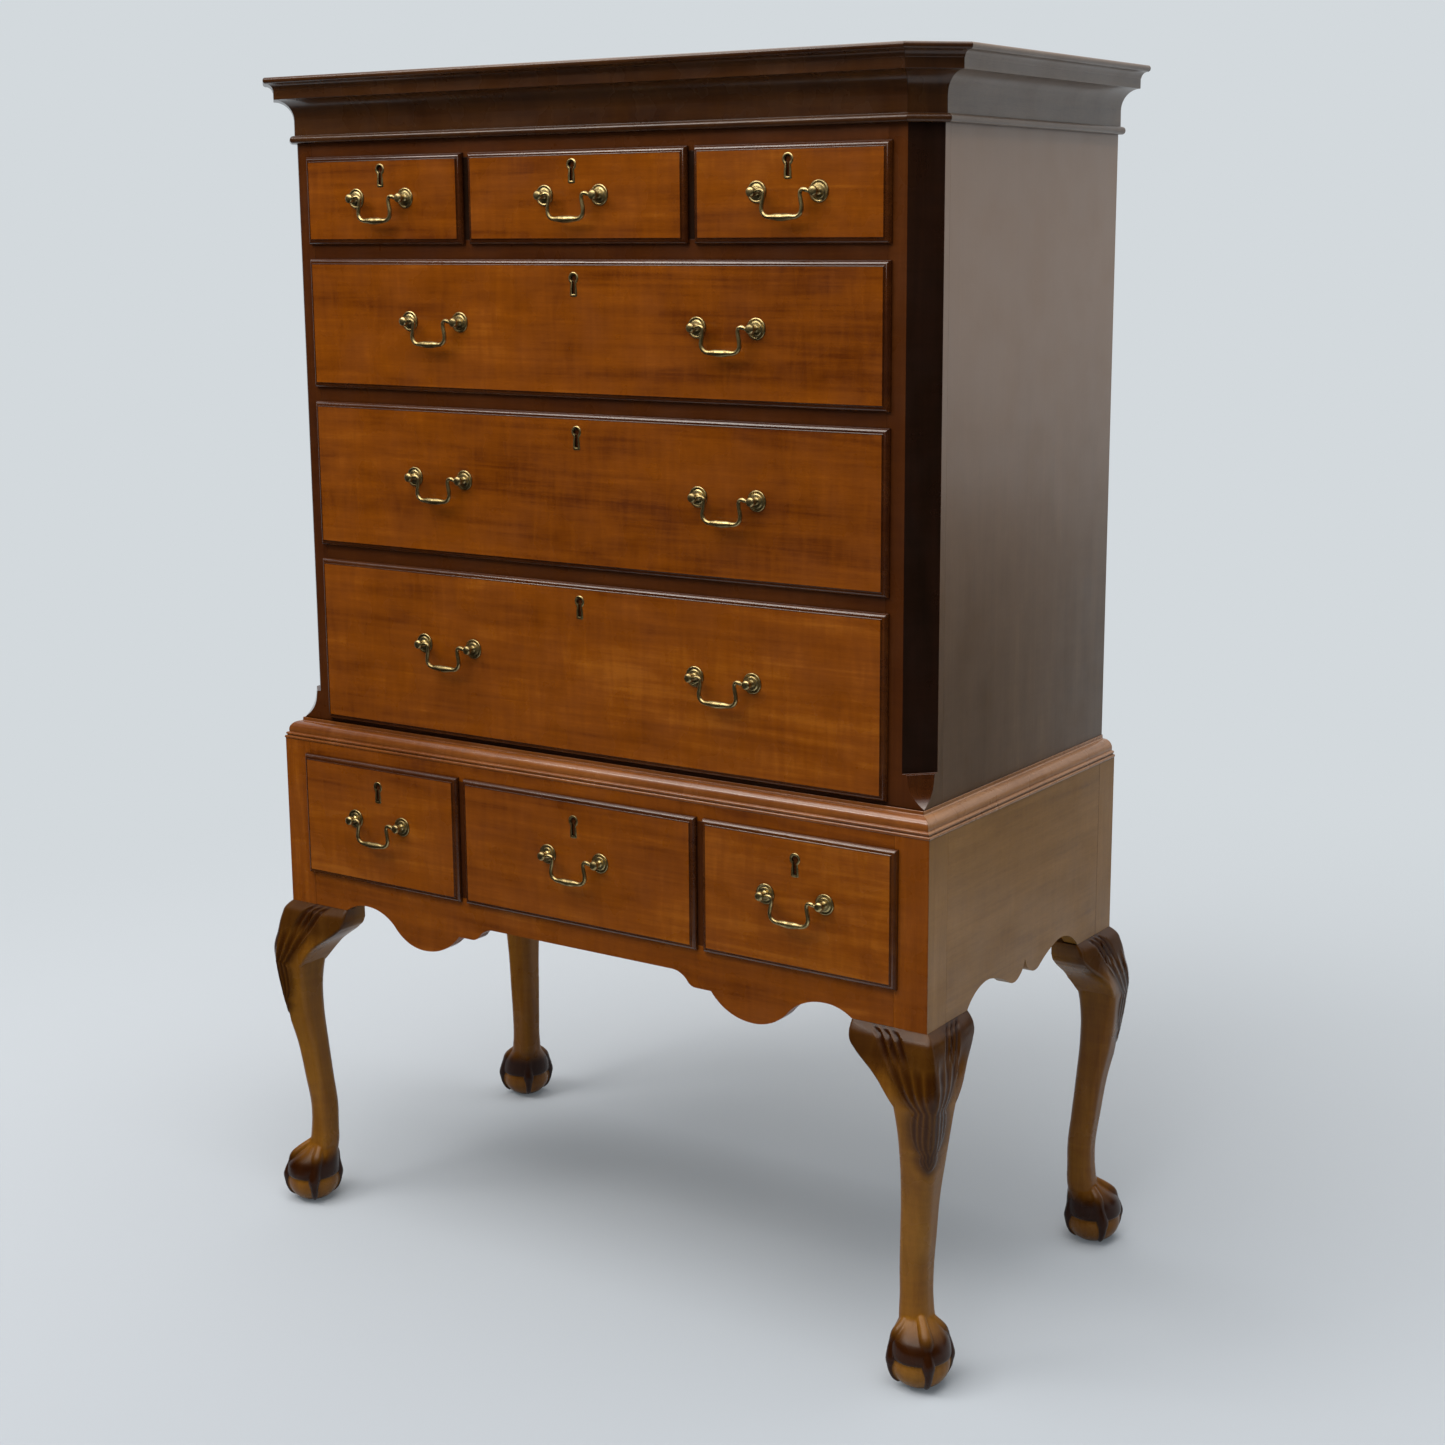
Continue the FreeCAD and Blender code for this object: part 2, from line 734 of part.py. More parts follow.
blank = board("top_blank", (-D.upper_half, D.upper_half), (-upper_front, back), (case_top, cornice_top))
half_cut = cut("top_right_trimmed", blank, solid("top_cutter_right", stop_cutter(1)))
nodes.append(cut("upper_top", half_cut, solid("top_cutter_left", stop_cutter(-1))))

outer_run = (opening - D.runner_width, inside)
tee_x = (upright_x[0] - D.runner_width, upright_x[1] + D.runner_width)
runners = []
under = lower_top + D.floor_thick
for row in upper_rows:
    low, high = openings[row]
    runners += pair(f"{row}_runner", outer_run, run_y, (under, low))
    runners += pair(f"{row}_guide", (opening, inside), run_y, (low, low + D.guide_rise))
    if row == "small":
        runners += pair("small_tee_runner", tee_x, run_y, (under, low))
        runners += pair("small_tee_guide", upright_x, run_y, (low, low + D.guide_rise))
        runners += pair("small_kicker", outer_run, run_y, (high, high + D.runner_thick))
        runners += pair("small_tee_kicker", tee_x, run_y, (high, high + D.runner_thick))
    under = high
node("upper_drawer_runners", runners)

# ---------------------------------------------------------------- pulls


def pull_fittings():
    """Both posts with their rosettes and nuts, about the middle of the pull on the drawer's face."""
    shapes = []
    through = D.field_stand + D.front_body
    radius = D.rosette_radius
    head = D.head_half
    size = D.shank_size
    half_nut = D.nut_size / 2
    for sign in (1, -1):
        rosette = turned([(0, radius), (-0.22 * radius, 0.87 * radius)], 10)
        knob = (0.65 * head - D.bail_stand, -0.65 * head - D.bail_stand)
        stem = turned([(0, 0.7 * head), (knob[0] + 0.3 * head, 0.53 * head), (knob[0], head), (knob[1], head)], 6)
        mouth = [Vector(-sign * (head + away), -D.bail_stand, 0) for away in (0.1 * head, -2 * D.pin_radius)]
        bore = faceted([ring(spot, D.bore_radius, 8, Vector(0, 1, 0), Vector(0, 0, 1)) for spot in mouth])
        shank = Part.makeBox(size, through + 1.5 * D.nut_thick, size, Vector(-size / 2, 0, -size / 2))
        post = rosette.fuse([stem, shank]).cut(bore).removeSplitter()
        nut = Part.makeBox(D.nut_size, D.nut_thick, D.nut_size, Vector(-half_nut, through, -half_nut)).cut(shank)
        for shape in (post, nut):
            shape.translate(Vector(sign * D.boring / 2, 0, 0))
            shapes += shape.Solids
    return Part.makeCompound(shapes)


def bail_shape():
    """The swan-neck bail about its hinge axis, hanging, with a pin at each end."""
    head = D.boring / 2 - D.head_half
    pin = D.pin_radius * math.cos(math.pi / 6)
    thick = D.pin_radius * 1.2
    drop = D.bail_drop
    half = [
        (head + 1.88 * D.pin_radius, 0, pin),
        (head - 0.5 * D.pin_radius, 0, pin),
        (head - 0.65 * D.pin_radius, 0, 1.1 * thick),
        (0.847 * head, 0.07 * drop, thick),
        (0.676 * head, -0.03 * drop, thick),
        (0.742 * head, -0.62 * drop, thick),
        (0.605 * head, -0.955 * drop, thick),
        (0.395 * head, -0.98 * drop, 1.6 * thick),
        (0, -drop, 1.95 * thick),
    ]
    path = half + [(-across, level, radius) for across, level, radius in reversed(half[:-1])]
    return tube([(Vector(across, 0, level), radius) for across, level, radius in path], Vector(0, 1, 0))


def key_outline(grow):
    """A keyhole: a round head and a tail that widens a little downwards, each line moved out by grow."""
    radius = D.key_radius + grow
    middle = 0.58 * D.key_tail
    points = []
    for degrees in (0, 60, 120, 180):
        angle = math.radians(degrees)
        points.append((radius * math.cos(angle), middle + radius * math.sin(angle)))
    for sign in (-1, 1):
        corners = [(sign * (0.375 * D.key_radius + grow), 0.23 * D.key_tail)]
        corners.append((sign * (0.54 * D.key_radius + grow), -D.key_tail - grow))
        points += corners[::-sign]
    return points


def escutcheon_shape():
    """The brass ring round the keyhole, let in flush with the drawer's face."""
    faces = []
    for grow in (0, D.ring_width):
        faces.append(flat_face([Vector(across, -D.field_stand, level) for across, level in key_outline(grow)]))
    return faces[1].cut(faces[0]).extrude(Vector(0, D.inlay_depth, 0)).Solids[0]


fittings = pull_fittings()
bail = bail_shape()
escutcheon = escutcheon_shape()

# ---------------------------------------------------------------- drawers


def drawer_front(name, spot, half, rise, key_drop, holes):
    """A lipped front with a thumb-moulded edge and a raised field, mortised for the lock, pulls and keyhole."""
    front = body(f"{name}_front", spot)
    lip = sketch_on(front, f"{name}_lip", "XZ_Plane")
    rectangle(lip, half, half, rise, rise)
    first = pad(front, lip, D.lip_thick)
    rim = []
    for number, edge in enumerate(first.Shape.Edges, start=1):
        if all(abs(corner.Point.y + D.lip_thick) < 0.01 for corner in edge.Vertexes):
            rim.append(f"Edge{number}")
    thumb = front.newObject("PartDesign::Fillet", f"{name}_thumb")
    thumb.Base = (first, rim)
    bind(thumb, "Radius", D.thumb_radius)
    doc.recompute()
    field = sketch_on(front, f"{name}_field", "XZ_Plane")
    rectangle(field, *[size - D.field_margin for size in (half, half, rise, rise)])
    pad(front, field, D.field_stand)
    behind = sketch_on(front, f"{name}_behind", "XZ_Plane")
    inset = half - D.lip_overlap - D.side_clearance
    top = rise - D.lip_overlap - D.top_clearance
    rectangle(behind, inset, inset, rise - D.lip_overlap - D.front_lift, top)
    pad(front, behind, D.front_body, back=True)
    key_height = rise - key_drop
    mortise = sketch_on(front, f"{name}_mortise", "XZ_Plane", (0, key_height, -D.front_body))
    rectangle(mortise, D.lock_half, D.lock_half, D.lock_drop, top - key_height)
    pocket(front, mortise, D.lock_depth, back=True)
    inlay = sketch_on(front, f"{name}_inlay", "XZ_Plane", (0, key_height, D.field_stand))
    loop(inlay, key_outline(D.ring_width))
    pocket(front, inlay, D.inlay_depth)
    keyway = sketch_on(front, f"{name}_keyway", "XZ_Plane", (0, key_height, D.field_stand))
    loop(keyway, key_outline(0))
    pocket(front, keyway)
    boring = sketch_on(front, f"{name}_holes", "XZ_Plane", (0, 0, D.field_stand))
    reach = 0.54 * D.shank_size
    for across, level in holes:
        square = [(-reach, -reach), (reach, -reach), (reach, reach), (-reach, reach)]
        loop(boring, [(across + step, level + lift) for step, lift in square])
    pocket(front, boring)
    nodes.append(front)


def drawer_box(name, centre, half, low, high, plane, rear):
    """Two sides, a back between them, and a bottom whose edges run in grooves in the sides."""
    outer = half - D.lip_overlap - D.side_clearance
    inside = outer - D.side_thick
    grooved = inside + D.groove_depth
    along = (plane + D.front_body, rear)
    tall = (low + D.lip_overlap, high - D.lip_overlap - D.top_clearance)
    floor = (tall[0] + D.bottom_rise, tall[0] + D.bottom_rise + D.bottom_thick)
    pieces = [board(f"{name}_bottom", (centre - grooved, centre + grooved), along, floor)]
    back_y = (rear - D.side_thick, rear)
    pieces.append(board(f"{name}_back", (centre - inside, centre + inside), back_y, (floor[1], tall[1] - D.back_drop)))
    for side, across, groove_x in (
        ("right", (centre + inside, centre + outer), (centre + inside, centre + grooved)),
        ("left", (centre - outer, centre - inside), (centre - grooved, centre - inside)),
    ):
        blank = board(f"{name}_side_{side}_blank", across, along, tall)
        groove = board(f"{name}_groove_{side}", groove_x, along, floor)
        pieces.append(cut(f"{name}_side_{side}", blank, groove))
    node(f"{name}_box", pieces)


def drawer_hardware(name, centre, half, low, high, plane, rear, key_drop, pulls):
    """Posts, nuts, escutcheon, lock with its bolt drawn back, and the nails under the back."""
    pieces = []
    middle = (low + high) / 2
    for number, (across, level) in enumerate(pulls, start=1):
        spot = (centre + across, plane - D.field_stand, middle + level)
        pieces.append(solid(f"{name}_fittings_{number}", fittings, spot))
    key_z = high - key_drop
    pieces.append(solid(f"{name}_escutcheon", escutcheon, (centre, plane, key_z)))
    face = plane + D.front_body
    top = high - D.lip_overlap - D.top_clearance
    lock_z = (key_z - D.lock_drop, top)
    lock_x = (centre - D.lock_half, centre + D.lock_half)
    case = board(f"{name}_lock_blank", lock_x, (face - D.lock_depth, face), lock_z)
    bolt_half = 0.35 * D.lock_half
    slot_y = (face - 0.67 * D.lock_depth, face - 0.22 * D.lock_depth)
    slot_low = top - 0.5 * D.lock_half
    slot = board(f"{name}_bolt_slot", (centre - bolt_half, centre + bolt_half), slot_y, (slot_low, top + 1))
    pieces.append(cut(f"{name}_lock", case, slot))
    bolt_half = 0.99 * bolt_half
    pieces.append(board(f"{name}_bolt", (centre - bolt_half, centre + bolt_half), slot_y, (slot_low, top - 0.5)))
    plate_half = 1.2 * D.lock_half
    plate_y = (face, face + 0.16 * D.lock_depth)
    pieces.append(board(f"{name}_lock_plate", (centre - plate_half, centre + plate_half), plate_y, lock_z))
    under = low + D.lip_overlap + D.bottom_rise
    nail = 0.18 * D.side_thick
    for number, part in enumerate((-0.8, 0, 0.8), start=1):
        across = centre + half * part
        nail_x = (across - nail, across + nail)
        nail_y = (rear - 3 * nail, rear - nail)
        pieces.append(board(f"{name}_nail_{number}", nail_x, nail_y, (under - nail / 2, under)))
    node(f"{name}_hardware", pieces)


def drawer(name, row, centre, half, key_drop, pulls):
    lower = row == "lower"
    low, high = rows[row]
    plane = -D.depth_half if lower else -upper_front
    rear = D.depth_half - (D.panel_thick if lower else D.board_thick) - D.back_gap
    middle = (low + high) / 2
    holes = [(across + step * D.boring / 2, level) for across, level in pulls for step in (1, -1)]
    drawer_front(name, (centre, plane, middle), half, (high - low) / 2, key_drop, holes)
    drawer_box(name, centre, half, low, high, plane, rear)
    drawer_hardware(name, centre, half, low, high, plane, rear, key_drop, pulls)
    for number, (across, level) in enumerate(pulls):
        word = ("left_", "right_")[number] if len(pulls) == 2 else ""
        spot = (centre + across, plane - D.field_stand - D.bail_stand, middle + level)
        nodes.append(solid(f"{name}_{word}bail", bail, spot))


def row_of_three(prefix, row, middle, outer, key_drop, level):
    """A middle drawer and one on each side of it."""
    width = (outer - middle - D.lip_gap) / 2
    away = (outer + middle + D.lip_gap) / 2
    for side, centre, half in (("middle", 0 * away, middle), ("left", -away, width), ("right", away, width)):
        drawer(f"{prefix}_{side}", row, centre, half, key_drop, [(0, level)])


row_of_three("upper", "small", D.small_middle_half, opening + D.lip_overlap, D.key_drop_small, D.small_pull_rise)
for row, part, level in (
    ("top", D.long_pull_part, D.top_pull_rise),
    ("middle", D.long_pull_part, D.middle_pull_rise),
    ("bottom", D.bottom_pull_part, D.bottom_pull_rise),
):
    pulls = [(-opening * part, level), (opening * part, level)]
    drawer(f"{row}_long", row, 0 * opening, opening + D.lip_overlap, D.key_drop_long, pulls)
row_of_three("lower", "lower", D.lower_middle_half, inner + D.lip_overlap, D.key_drop_lower, D.lower_pull_rise)

# ---------------------------------------------------------------- check and write

doc.recompute()
for item in doc.Objects:
    if "Invalid" in item.State or "Error" in item.State:
        raise RuntimeError(f"{item.Label} failed")
labels = [item.Label for item in nodes]
if len(set(labels)) != len(labels) or len(labels) > 60:
    raise RuntimeError("every sub-part needs a label of its own, and 60 is the most")
for item in nodes:
    if item.Shape.isNull() or not item.Shape.isValid() or not item.Shape.Solids:
        raise RuntimeError(f"{item.Label} has no valid solid")
os.makedirs("parts", exist_ok=True)
for item in nodes:
    item.Shape.exportStep(f"parts/{item.Label}.step")
print(len(nodes), "sub-parts written")
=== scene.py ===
import math
import random

import bmesh
import bpy
import numpy as np
from mathutils import Matrix, Vector


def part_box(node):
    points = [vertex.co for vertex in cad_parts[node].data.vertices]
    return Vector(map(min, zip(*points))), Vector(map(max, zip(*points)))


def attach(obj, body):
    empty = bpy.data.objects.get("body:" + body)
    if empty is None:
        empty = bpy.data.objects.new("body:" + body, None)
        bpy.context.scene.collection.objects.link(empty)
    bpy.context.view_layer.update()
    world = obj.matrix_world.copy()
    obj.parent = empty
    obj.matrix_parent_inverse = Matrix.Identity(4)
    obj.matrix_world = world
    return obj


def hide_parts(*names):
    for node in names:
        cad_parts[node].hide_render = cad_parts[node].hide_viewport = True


# A highboy in shellacked cherry: a chest of six drawers on a stand with three, cabriole legs with carved knees
# and claw-and-ball feet, and aged brass swan-neck pulls.  Shapes are worked out in millimetres, x to the right,
# y to the back and z up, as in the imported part; every finished piece is in metres.

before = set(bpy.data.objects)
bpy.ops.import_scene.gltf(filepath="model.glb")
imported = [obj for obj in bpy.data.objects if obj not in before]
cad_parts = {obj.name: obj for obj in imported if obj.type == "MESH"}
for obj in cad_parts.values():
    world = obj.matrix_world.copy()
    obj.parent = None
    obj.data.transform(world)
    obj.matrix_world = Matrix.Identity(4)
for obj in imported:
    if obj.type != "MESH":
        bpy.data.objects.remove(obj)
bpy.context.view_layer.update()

MM = 0.001


# ---- finishes


def linear(code):
    """An sRGB hex colour as linear light."""
    parts = [int(code[place : place + 2], 16) / 255 for place in (1, 3, 5)]
    return [part / 12.92 if part <= 0.04045 else ((part + 0.055) / 1.055) ** 2.4 for part in parts] + [1.0]


def add(tree, kind, inputs=(), stops=(), **settings):
    """A node with its settings; an input is given a socket to link or a plain value, a ramp its stops."""
    made = tree.nodes.new("ShaderNode" + kind)
    for name, value in settings.items():
        setattr(made, name, value)
    for place, value in dict(inputs).items():
        if isinstance(value, bpy.types.NodeSocket):
            tree.links.new(value, made.inputs[place])
        else:
            made.inputs[place].default_value = value
    for number, (spot, colour) in enumerate(stops):
        ramp = made.color_ramp.elements
        stop = ramp[number] if number < 2 else ramp.new(spot)
        stop.position = spot
        stop.color = linear(colour)
    return made


def finish_for(name):
    """An empty material and its surface output."""
    made = bpy.data.materials.new(name)
    made.use_nodes = True
    made.node_tree.nodes.clear()
    return made, made.node_tree, add(made.node_tree, "OutputMaterial")


def noise(tree, where, size, detail):
    """Noise whose clouds are of a size in mm."""
    return add(tree, "TexNoise", {0: where, "Scale": 1 / (size * MM), "Detail": detail}).outputs["Fac"]


def long_noise(tree, where, long, wide, detail, twist=0.0):
    """Noise drawn out along the grain, its length and width in mm."""
    spot = add(tree, "Mapping", {0: where, "Scale": (1 / (long * MM), 1 / (wide * MM), 1 / (wide * MM))}).outputs[0]
    return add(tree, "TexNoise", {0: spot, "Scale": 1.0, "Detail": detail, "Distortion": twist}).outputs["Fac"]


def mixed(tree, share, first, second, kind="MIX"):
    """Two colours mixed, or multiplied, by a share."""
    return add(tree, "Mix", {0: share, 6: first, 7: second}, data_type="RGBA", blend_type=kind).outputs[2]


def darkened_in_hollows(tree, colour, depth, hollow, full, clear):
    """A colour darkened in the recesses, which spreads over depth: painted shade on timber, patina on brass."""
    shut = add(tree, "AmbientOcclusion", {"Distance": depth}, samples=8).outputs["AO"]
    hollow_darkening = add(tree, "ValToRGB", {0: shut}, stops=[(full, hollow), (clear, "#ffffff")]).outputs[0]
    return mixed(tree, 1.0, colour, hollow_darkening, "MULTIPLY")


def timber(name, colours, hollow, gloss, shine, coat, figure=1.0, depth=0.06, stained=None, faded=None):
    """Timber whose grain runs along the first coordinate of the "grain" attribute, which is in metres.

    colours go from the dark to the pale figure; hollow is the painted shade in the recesses, which spreads over depth;
    gloss is the roughness of the finish, shine how much of it is left and coat the weight of fresh polish on it;
    stained is the colour in carved cuts; the last is the colour it pales to upwards, partly by the sun and partly as
    painted reflection, and the heights in metres it rises between.
    """
    made, tree, output = finish_for(name)
    colours = colours.split()
    where = add(tree, "Attribute", attribute_name="grain").outputs["Vector"]
    # length and width of each pattern in mm; the pores are drawn wider than cherry's so that they show
    layers = {}
    for title, long, wide, detail, twist in (
        ("tone", 1500, 300, 1, 0.3),
        ("blotches", 120, 45, 3, 0.6),
        ("figure", 420, 30, 3, 1.4),
        ("rings", 190, 5, 3, 0.4),
        ("curl", 11, 70, 2, 0.8),
        ("fibres", 26, 1.1, 2, 0.0),
        ("pores", 9, 0.5, 1, 0.0),
    ):
        layers[title] = long_noise(tree, where, long, wide, detail, twist)
    shares = {"tone": 0.45, "blotches": 0.38, "figure": 0.40, "rings": 0.22, "curl": 0.18, "fibres": 0.08}
    shade = 0.5
    for title, share in shares.items():
        level = add(tree, "Math", {0: layers[title], 1: 0.5}, operation="SUBTRACT").outputs[0]
        share = share if title == "tone" else share * figure
        shade = add(tree, "Math", {0: level, 1: share, 2: shade}, operation="MULTIPLY_ADD").outputs[0]
    spread = [0.28 + 0.44 * number / (len(colours) - 1) for number in range(len(colours))]
    colour = add(tree, "ValToRGB", {0: shade}, stops=list(zip(spread, colours))).outputs[0]
    pores = add(tree, "ValToRGB", {0: layers["pores"]}, stops=[(0.30, "#a09890"), (0.46, "#ffffff")]).outputs[0]
    colour = mixed(tree, 0.25, colour, pores, "MULTIPLY")
    if stained:
        deep = add(tree, "Attribute", attribute_name="stain").outputs["Fac"]
        dark = mixed(tree, deep, (1, 1, 1, 1), linear(stained))
        colour = mixed(tree, 1.0, colour, dark, "MULTIPLY")
    # towards the top the colour pales, partly as sun fade and partly as a painted reflection of the room
    if faded:
        pale, begin, end = faded
        spot = add(tree, "TexCoord").outputs["Object"]
        level = add(tree, "SeparateXYZ", {0: spot}).outputs["Z"]
        reach = {0: level, 1: begin, 2: end, 3: 0.0, 4: 0.72}
        fade_and_sheen_share = add(tree, "MapRange", reach, interpolation_type="SMOOTHSTEP").outputs[0]
        colour = mixed(tree, fade_and_sheen_share, colour, linear(pale))
    # painted shade: the timber darkens in recesses, gaps and corners by how closed in they are
    colour = darkened_in_hollows(tree, colour, depth, hollow, 0.18, 0.72)
    # the hand that rubbed it leaves the gloss uneven over some 60 mm
    cloud = noise(tree, where, 60, 3.0)
    rough = add(tree, "MapRange", {0: cloud, 1: 0.3, 2: 0.7, 3: gloss - 0.06, 4: gloss + 0.08}).outputs[0]
    grain = add(tree, "Math", {0: layers["fibres"], 1: 0.35, 2: layers["pores"]}, operation="MULTIPLY_ADD").outputs[0]
    relief = add(tree, "Bump", {"Strength": 0.35, "Distance": 0.12 * MM, "Height": grain}).outputs[0]
    # the plane's long hollows, which make reflections waver
    planed = long_noise(tree, where, 300, 70, 1.0)
    relief = add(tree, "Bump", {"Strength": 0.5, "Distance": 0.5 * MM, "Height": planed, "Normal": relief}).outputs[0]
    surface = {"Base Color": colour, "Roughness": rough, "Normal": relief, "IOR": 1.5, "Specular IOR Level": shine}
    surface |= {"Coat Weight": coat, "Coat Roughness": gloss * 0.6, "Coat IOR": 1.5}
    tree.links.new(add(tree, "BsdfPrincipled", surface).outputs[0], output.inputs[0])
    return made


def metal(name, bright, dull, grime, gloss):
    """Cast metal, bright where hands rub it and dark in its hollows."""
    made, tree, output = finish_for(name)
    where = add(tree, "TexCoord").outputs["Object"]
    # clouds of tarnish some 9 mm across, and casting grit of 0.6 mm
    cloud = noise(tree, where, 9, 4.0)
    grit = noise(tree, where, 0.6, 2.0)
    colour = add(tree, "ValToRGB", {0: cloud}, stops=[(0.38, dull), (0.62, bright)]).outputs[0]
    colour = darkened_in_hollows(tree, colour, 7 * MM, grime, 0.25, 0.8)
    rough = add(tree, "MapRange", {0: cloud, 1: 0.35, 2: 0.65, 3: gloss + 0.14, 4: gloss}).outputs[0]
    relief = add(tree, "Bump", {"Strength": 0.25, "Distance": 0.08 * MM, "Height": grit}).outputs[0]
    surface = {"Base Color": colour, "Metallic": 1.0, "Roughness": rough, "Normal": relief}
    tree.links.new(add(tree, "BsdfPrincipled", surface).outputs[0], output.inputs[0])
    return made


# Each timber's colours are followed by the painted shade in its recesses; the numbers are gloss, shine, coat, figure
# and depth.
# Cherry under rubbed shellac: orange-brown, close quiet grain with a slow ribbon, a soft satin sheen.
front_cherry = timber(
    "shellacked_cherry_drawer_front", "#562602 #6f3703 #7d4004 #90500c", "#4d3020",
    0.28, 0.22, 0.12, 1.1, 0.02,
)
# The frame round the drawers is coloured darker than the fronts, as painted shade that the drawers' lips cast on it.
case_cherry = timber(
    "dark_stained_cherry_frame", "#2f1303 #401d05 #4a2407 #562c0c", "#22130b", 0.30, 0.22, 0.15, 0.8, 0.03
)
# Canted corners: coloured nearly black as painted shade.
shaded_cant_cherry = timber(
    "blackened_cherry_corner", "#130904 #1c0e05 #241208 #2d180b", "#22130b", 0.30, 0.22, 0.15, 0.8, 0.03
)
# The thumb-moulded edges of the drawers: coloured dark as painted shade, under a thick glossy coat that flashes along
# their upper curve.
shaded_edge_cherry = timber(
    "dark_polished_cherry_edge", "#2c1204 #3a1a06 #472308 #552d0c", "#1a0e08", 0.20, 0.5, 0.6, 0.8, 0.015
)
# Case sides: the same timber, greyed and paling upwards partly by the sun and partly as a painted reflection of the
# room, under a thick glossy coat that mirrors the room.
side_cherry = timber(
    "sun_greyed_cherry_side", "#463017 #553c20 #5e4428 #6a5032", "#4c3a30", 0.36, 0.40, 0.30, 0.9, 0.05,
    faded=("#957b67", 0.80, 1.40),
)
# The stand's sides: paler and yellower than the fronts, partly as a painted sheen of the room.
low_side_cherry = timber(
    "shellacked_cherry_stand_side", "#6c481a #80581f #8c6229 #9a7038", "#57423a", 0.36, 0.3, 0.12, 0.9, 0.05
)
moulding_cherry = timber(
    "polished_cherry_moulding", "#4f260c #6c3b14 #7f4a1e #915b2c", "#24150d", 0.22, 0.45, 0.5, 0.8, 0.02
)
# The same moulding where it runs round to the sides, coloured paler as a painted sheen of the room.
moulding_side_cherry = timber(
    "sun_faded_cherry_moulding", "#7e5633 #976c48 #a57a56 #b48a66", "#2c1c12", 0.26, 0.35, 0.3, 0.8, 0.02
)
# The cornice: coloured much darker than the fronts.
cornice_cherry = timber(
    "dark_stained_cherry_cornice", "#261206 #361c09 #43260e #503015", "#1c100a", 0.26, 0.30, 0.25, 0.8, 0.03
)
# The cornice's ends, coloured a grey brown as a painted sheen of the room.
cornice_side_cherry = timber(
    "dulled_cherry_cornice_end", "#54453a #665547 #705e4f #7b6a5a", "#2a201a", 0.34, 0.35, 0.25, 0.8, 0.03
)
# Carved and handled wood: the old finish lies dark in the cuts and is rubbed off the high places.
leg_cherry = timber(
    "shellacked_carved_cherry", "#563108 #6e430b #815413 #936420", "#2a1a10", 0.28, 0.20, 0.06, 0.7, 0.012,
    stained="#66503c",
)
# Planed pine and poplar inside: pale, dry and without any finish.
bare_pine = timber("bare_planed_pine", "#94734a #a98759 #b59366 #c2a276", "#6a563f", 0.72, 0.3, 0.0)
# Cast brass with old tarnish: warm gold where it is handled, brown-green in the hollows.
old_brass = metal("aged_cast_brass", "#c4b07c", "#877852", "#2c2a20", 0.30)


# ---- ways of shaping


def settle(made, *changes):
    """Adds modifiers, each with its settings, and keeps the mesh that they give."""
    for kind, settings in changes:
        change = made.modifiers.new(kind.title(), kind)
        for name, value in settings.items():
            setattr(change, name, value)
    bpy.context.view_layer.update()
    mesh = bpy.data.meshes.new_from_object(made.evaluated_get(bpy.context.evaluated_depsgraph_get()))
    made.modifiers.clear()
    made.data = mesh


def separate_boards(mesh):
    """A number for each vertex that is the same all over one board."""
    ends = np.empty(len(mesh.edges) * 2, np.int32)
    mesh.edges.foreach_get("vertices", ends)
    ends = ends.reshape(-1, 2)
    label = np.arange(len(mesh.vertices))
    while True:
        lowest = np.minimum(label[ends[:, 0]], label[ends[:, 1]])
        following = label.copy()
        np.minimum.at(following, ends[:, 0], lowest)
        np.minimum.at(following, ends[:, 1], lowest)
        following = following[following]
        if (following == label).all():
            return label
        label = following


def lay_grain(made, along=None):
    """Writes each point's place in its board, grain first; every board starts somewhere else in the timber."""
    mesh = made.data
    spots = np.empty(len(mesh.vertices) * 3, np.float32)
    mesh.vertices.foreach_get("co", spots)
    spots = spots.reshape(-1, 3)
    label = separate_boards(mesh)
    grain = np.empty_like(spots)
    chance = random.Random(made.name)
    for board in np.unique(label):
        chosen = label == board
        own = spots[chosen]
        first = int(np.argmax(np.ptp(own, axis=0))) if along is None else along
        order = [first, (first + 1) % 3, (first + 2) % 3]
        start = [chance.uniform(0, 3) for axis in order]
        grain[chosen] = own[:, order] + np.array(start, np.float32)
    attribute = mesh.attributes.new("grain", "FLOAT_VECTOR", "POINT")
    attribute.data.foreach_set("vector", grain.ravel())


def meshed(shape, name):
    """A mesh in metres from a shape in mm, its faces turned outwards."""
    bmesh.ops.recalc_face_normals(shape, faces=shape.faces)
    mesh = bpy.data.meshes.new(name)
    shape.to_mesh(mesh)
    shape.free()
    mesh.transform(Matrix.Scale(MM, 4))
    return mesh


def placed(name, data):
    """An object in the scene for a mesh, lamp or camera."""
    made = bpy.data.objects.new(name, data)
    bpy.context.scene.collection.objects.link(made)
    return made


def join(shape, part):
    """Adds a finished part to a shape."""
    mesh = bpy.data.meshes.new("part")
    part.to_mesh(mesh)
    part.free()
    shape.from_mesh(mesh)
    bpy.data.meshes.remove(mesh)


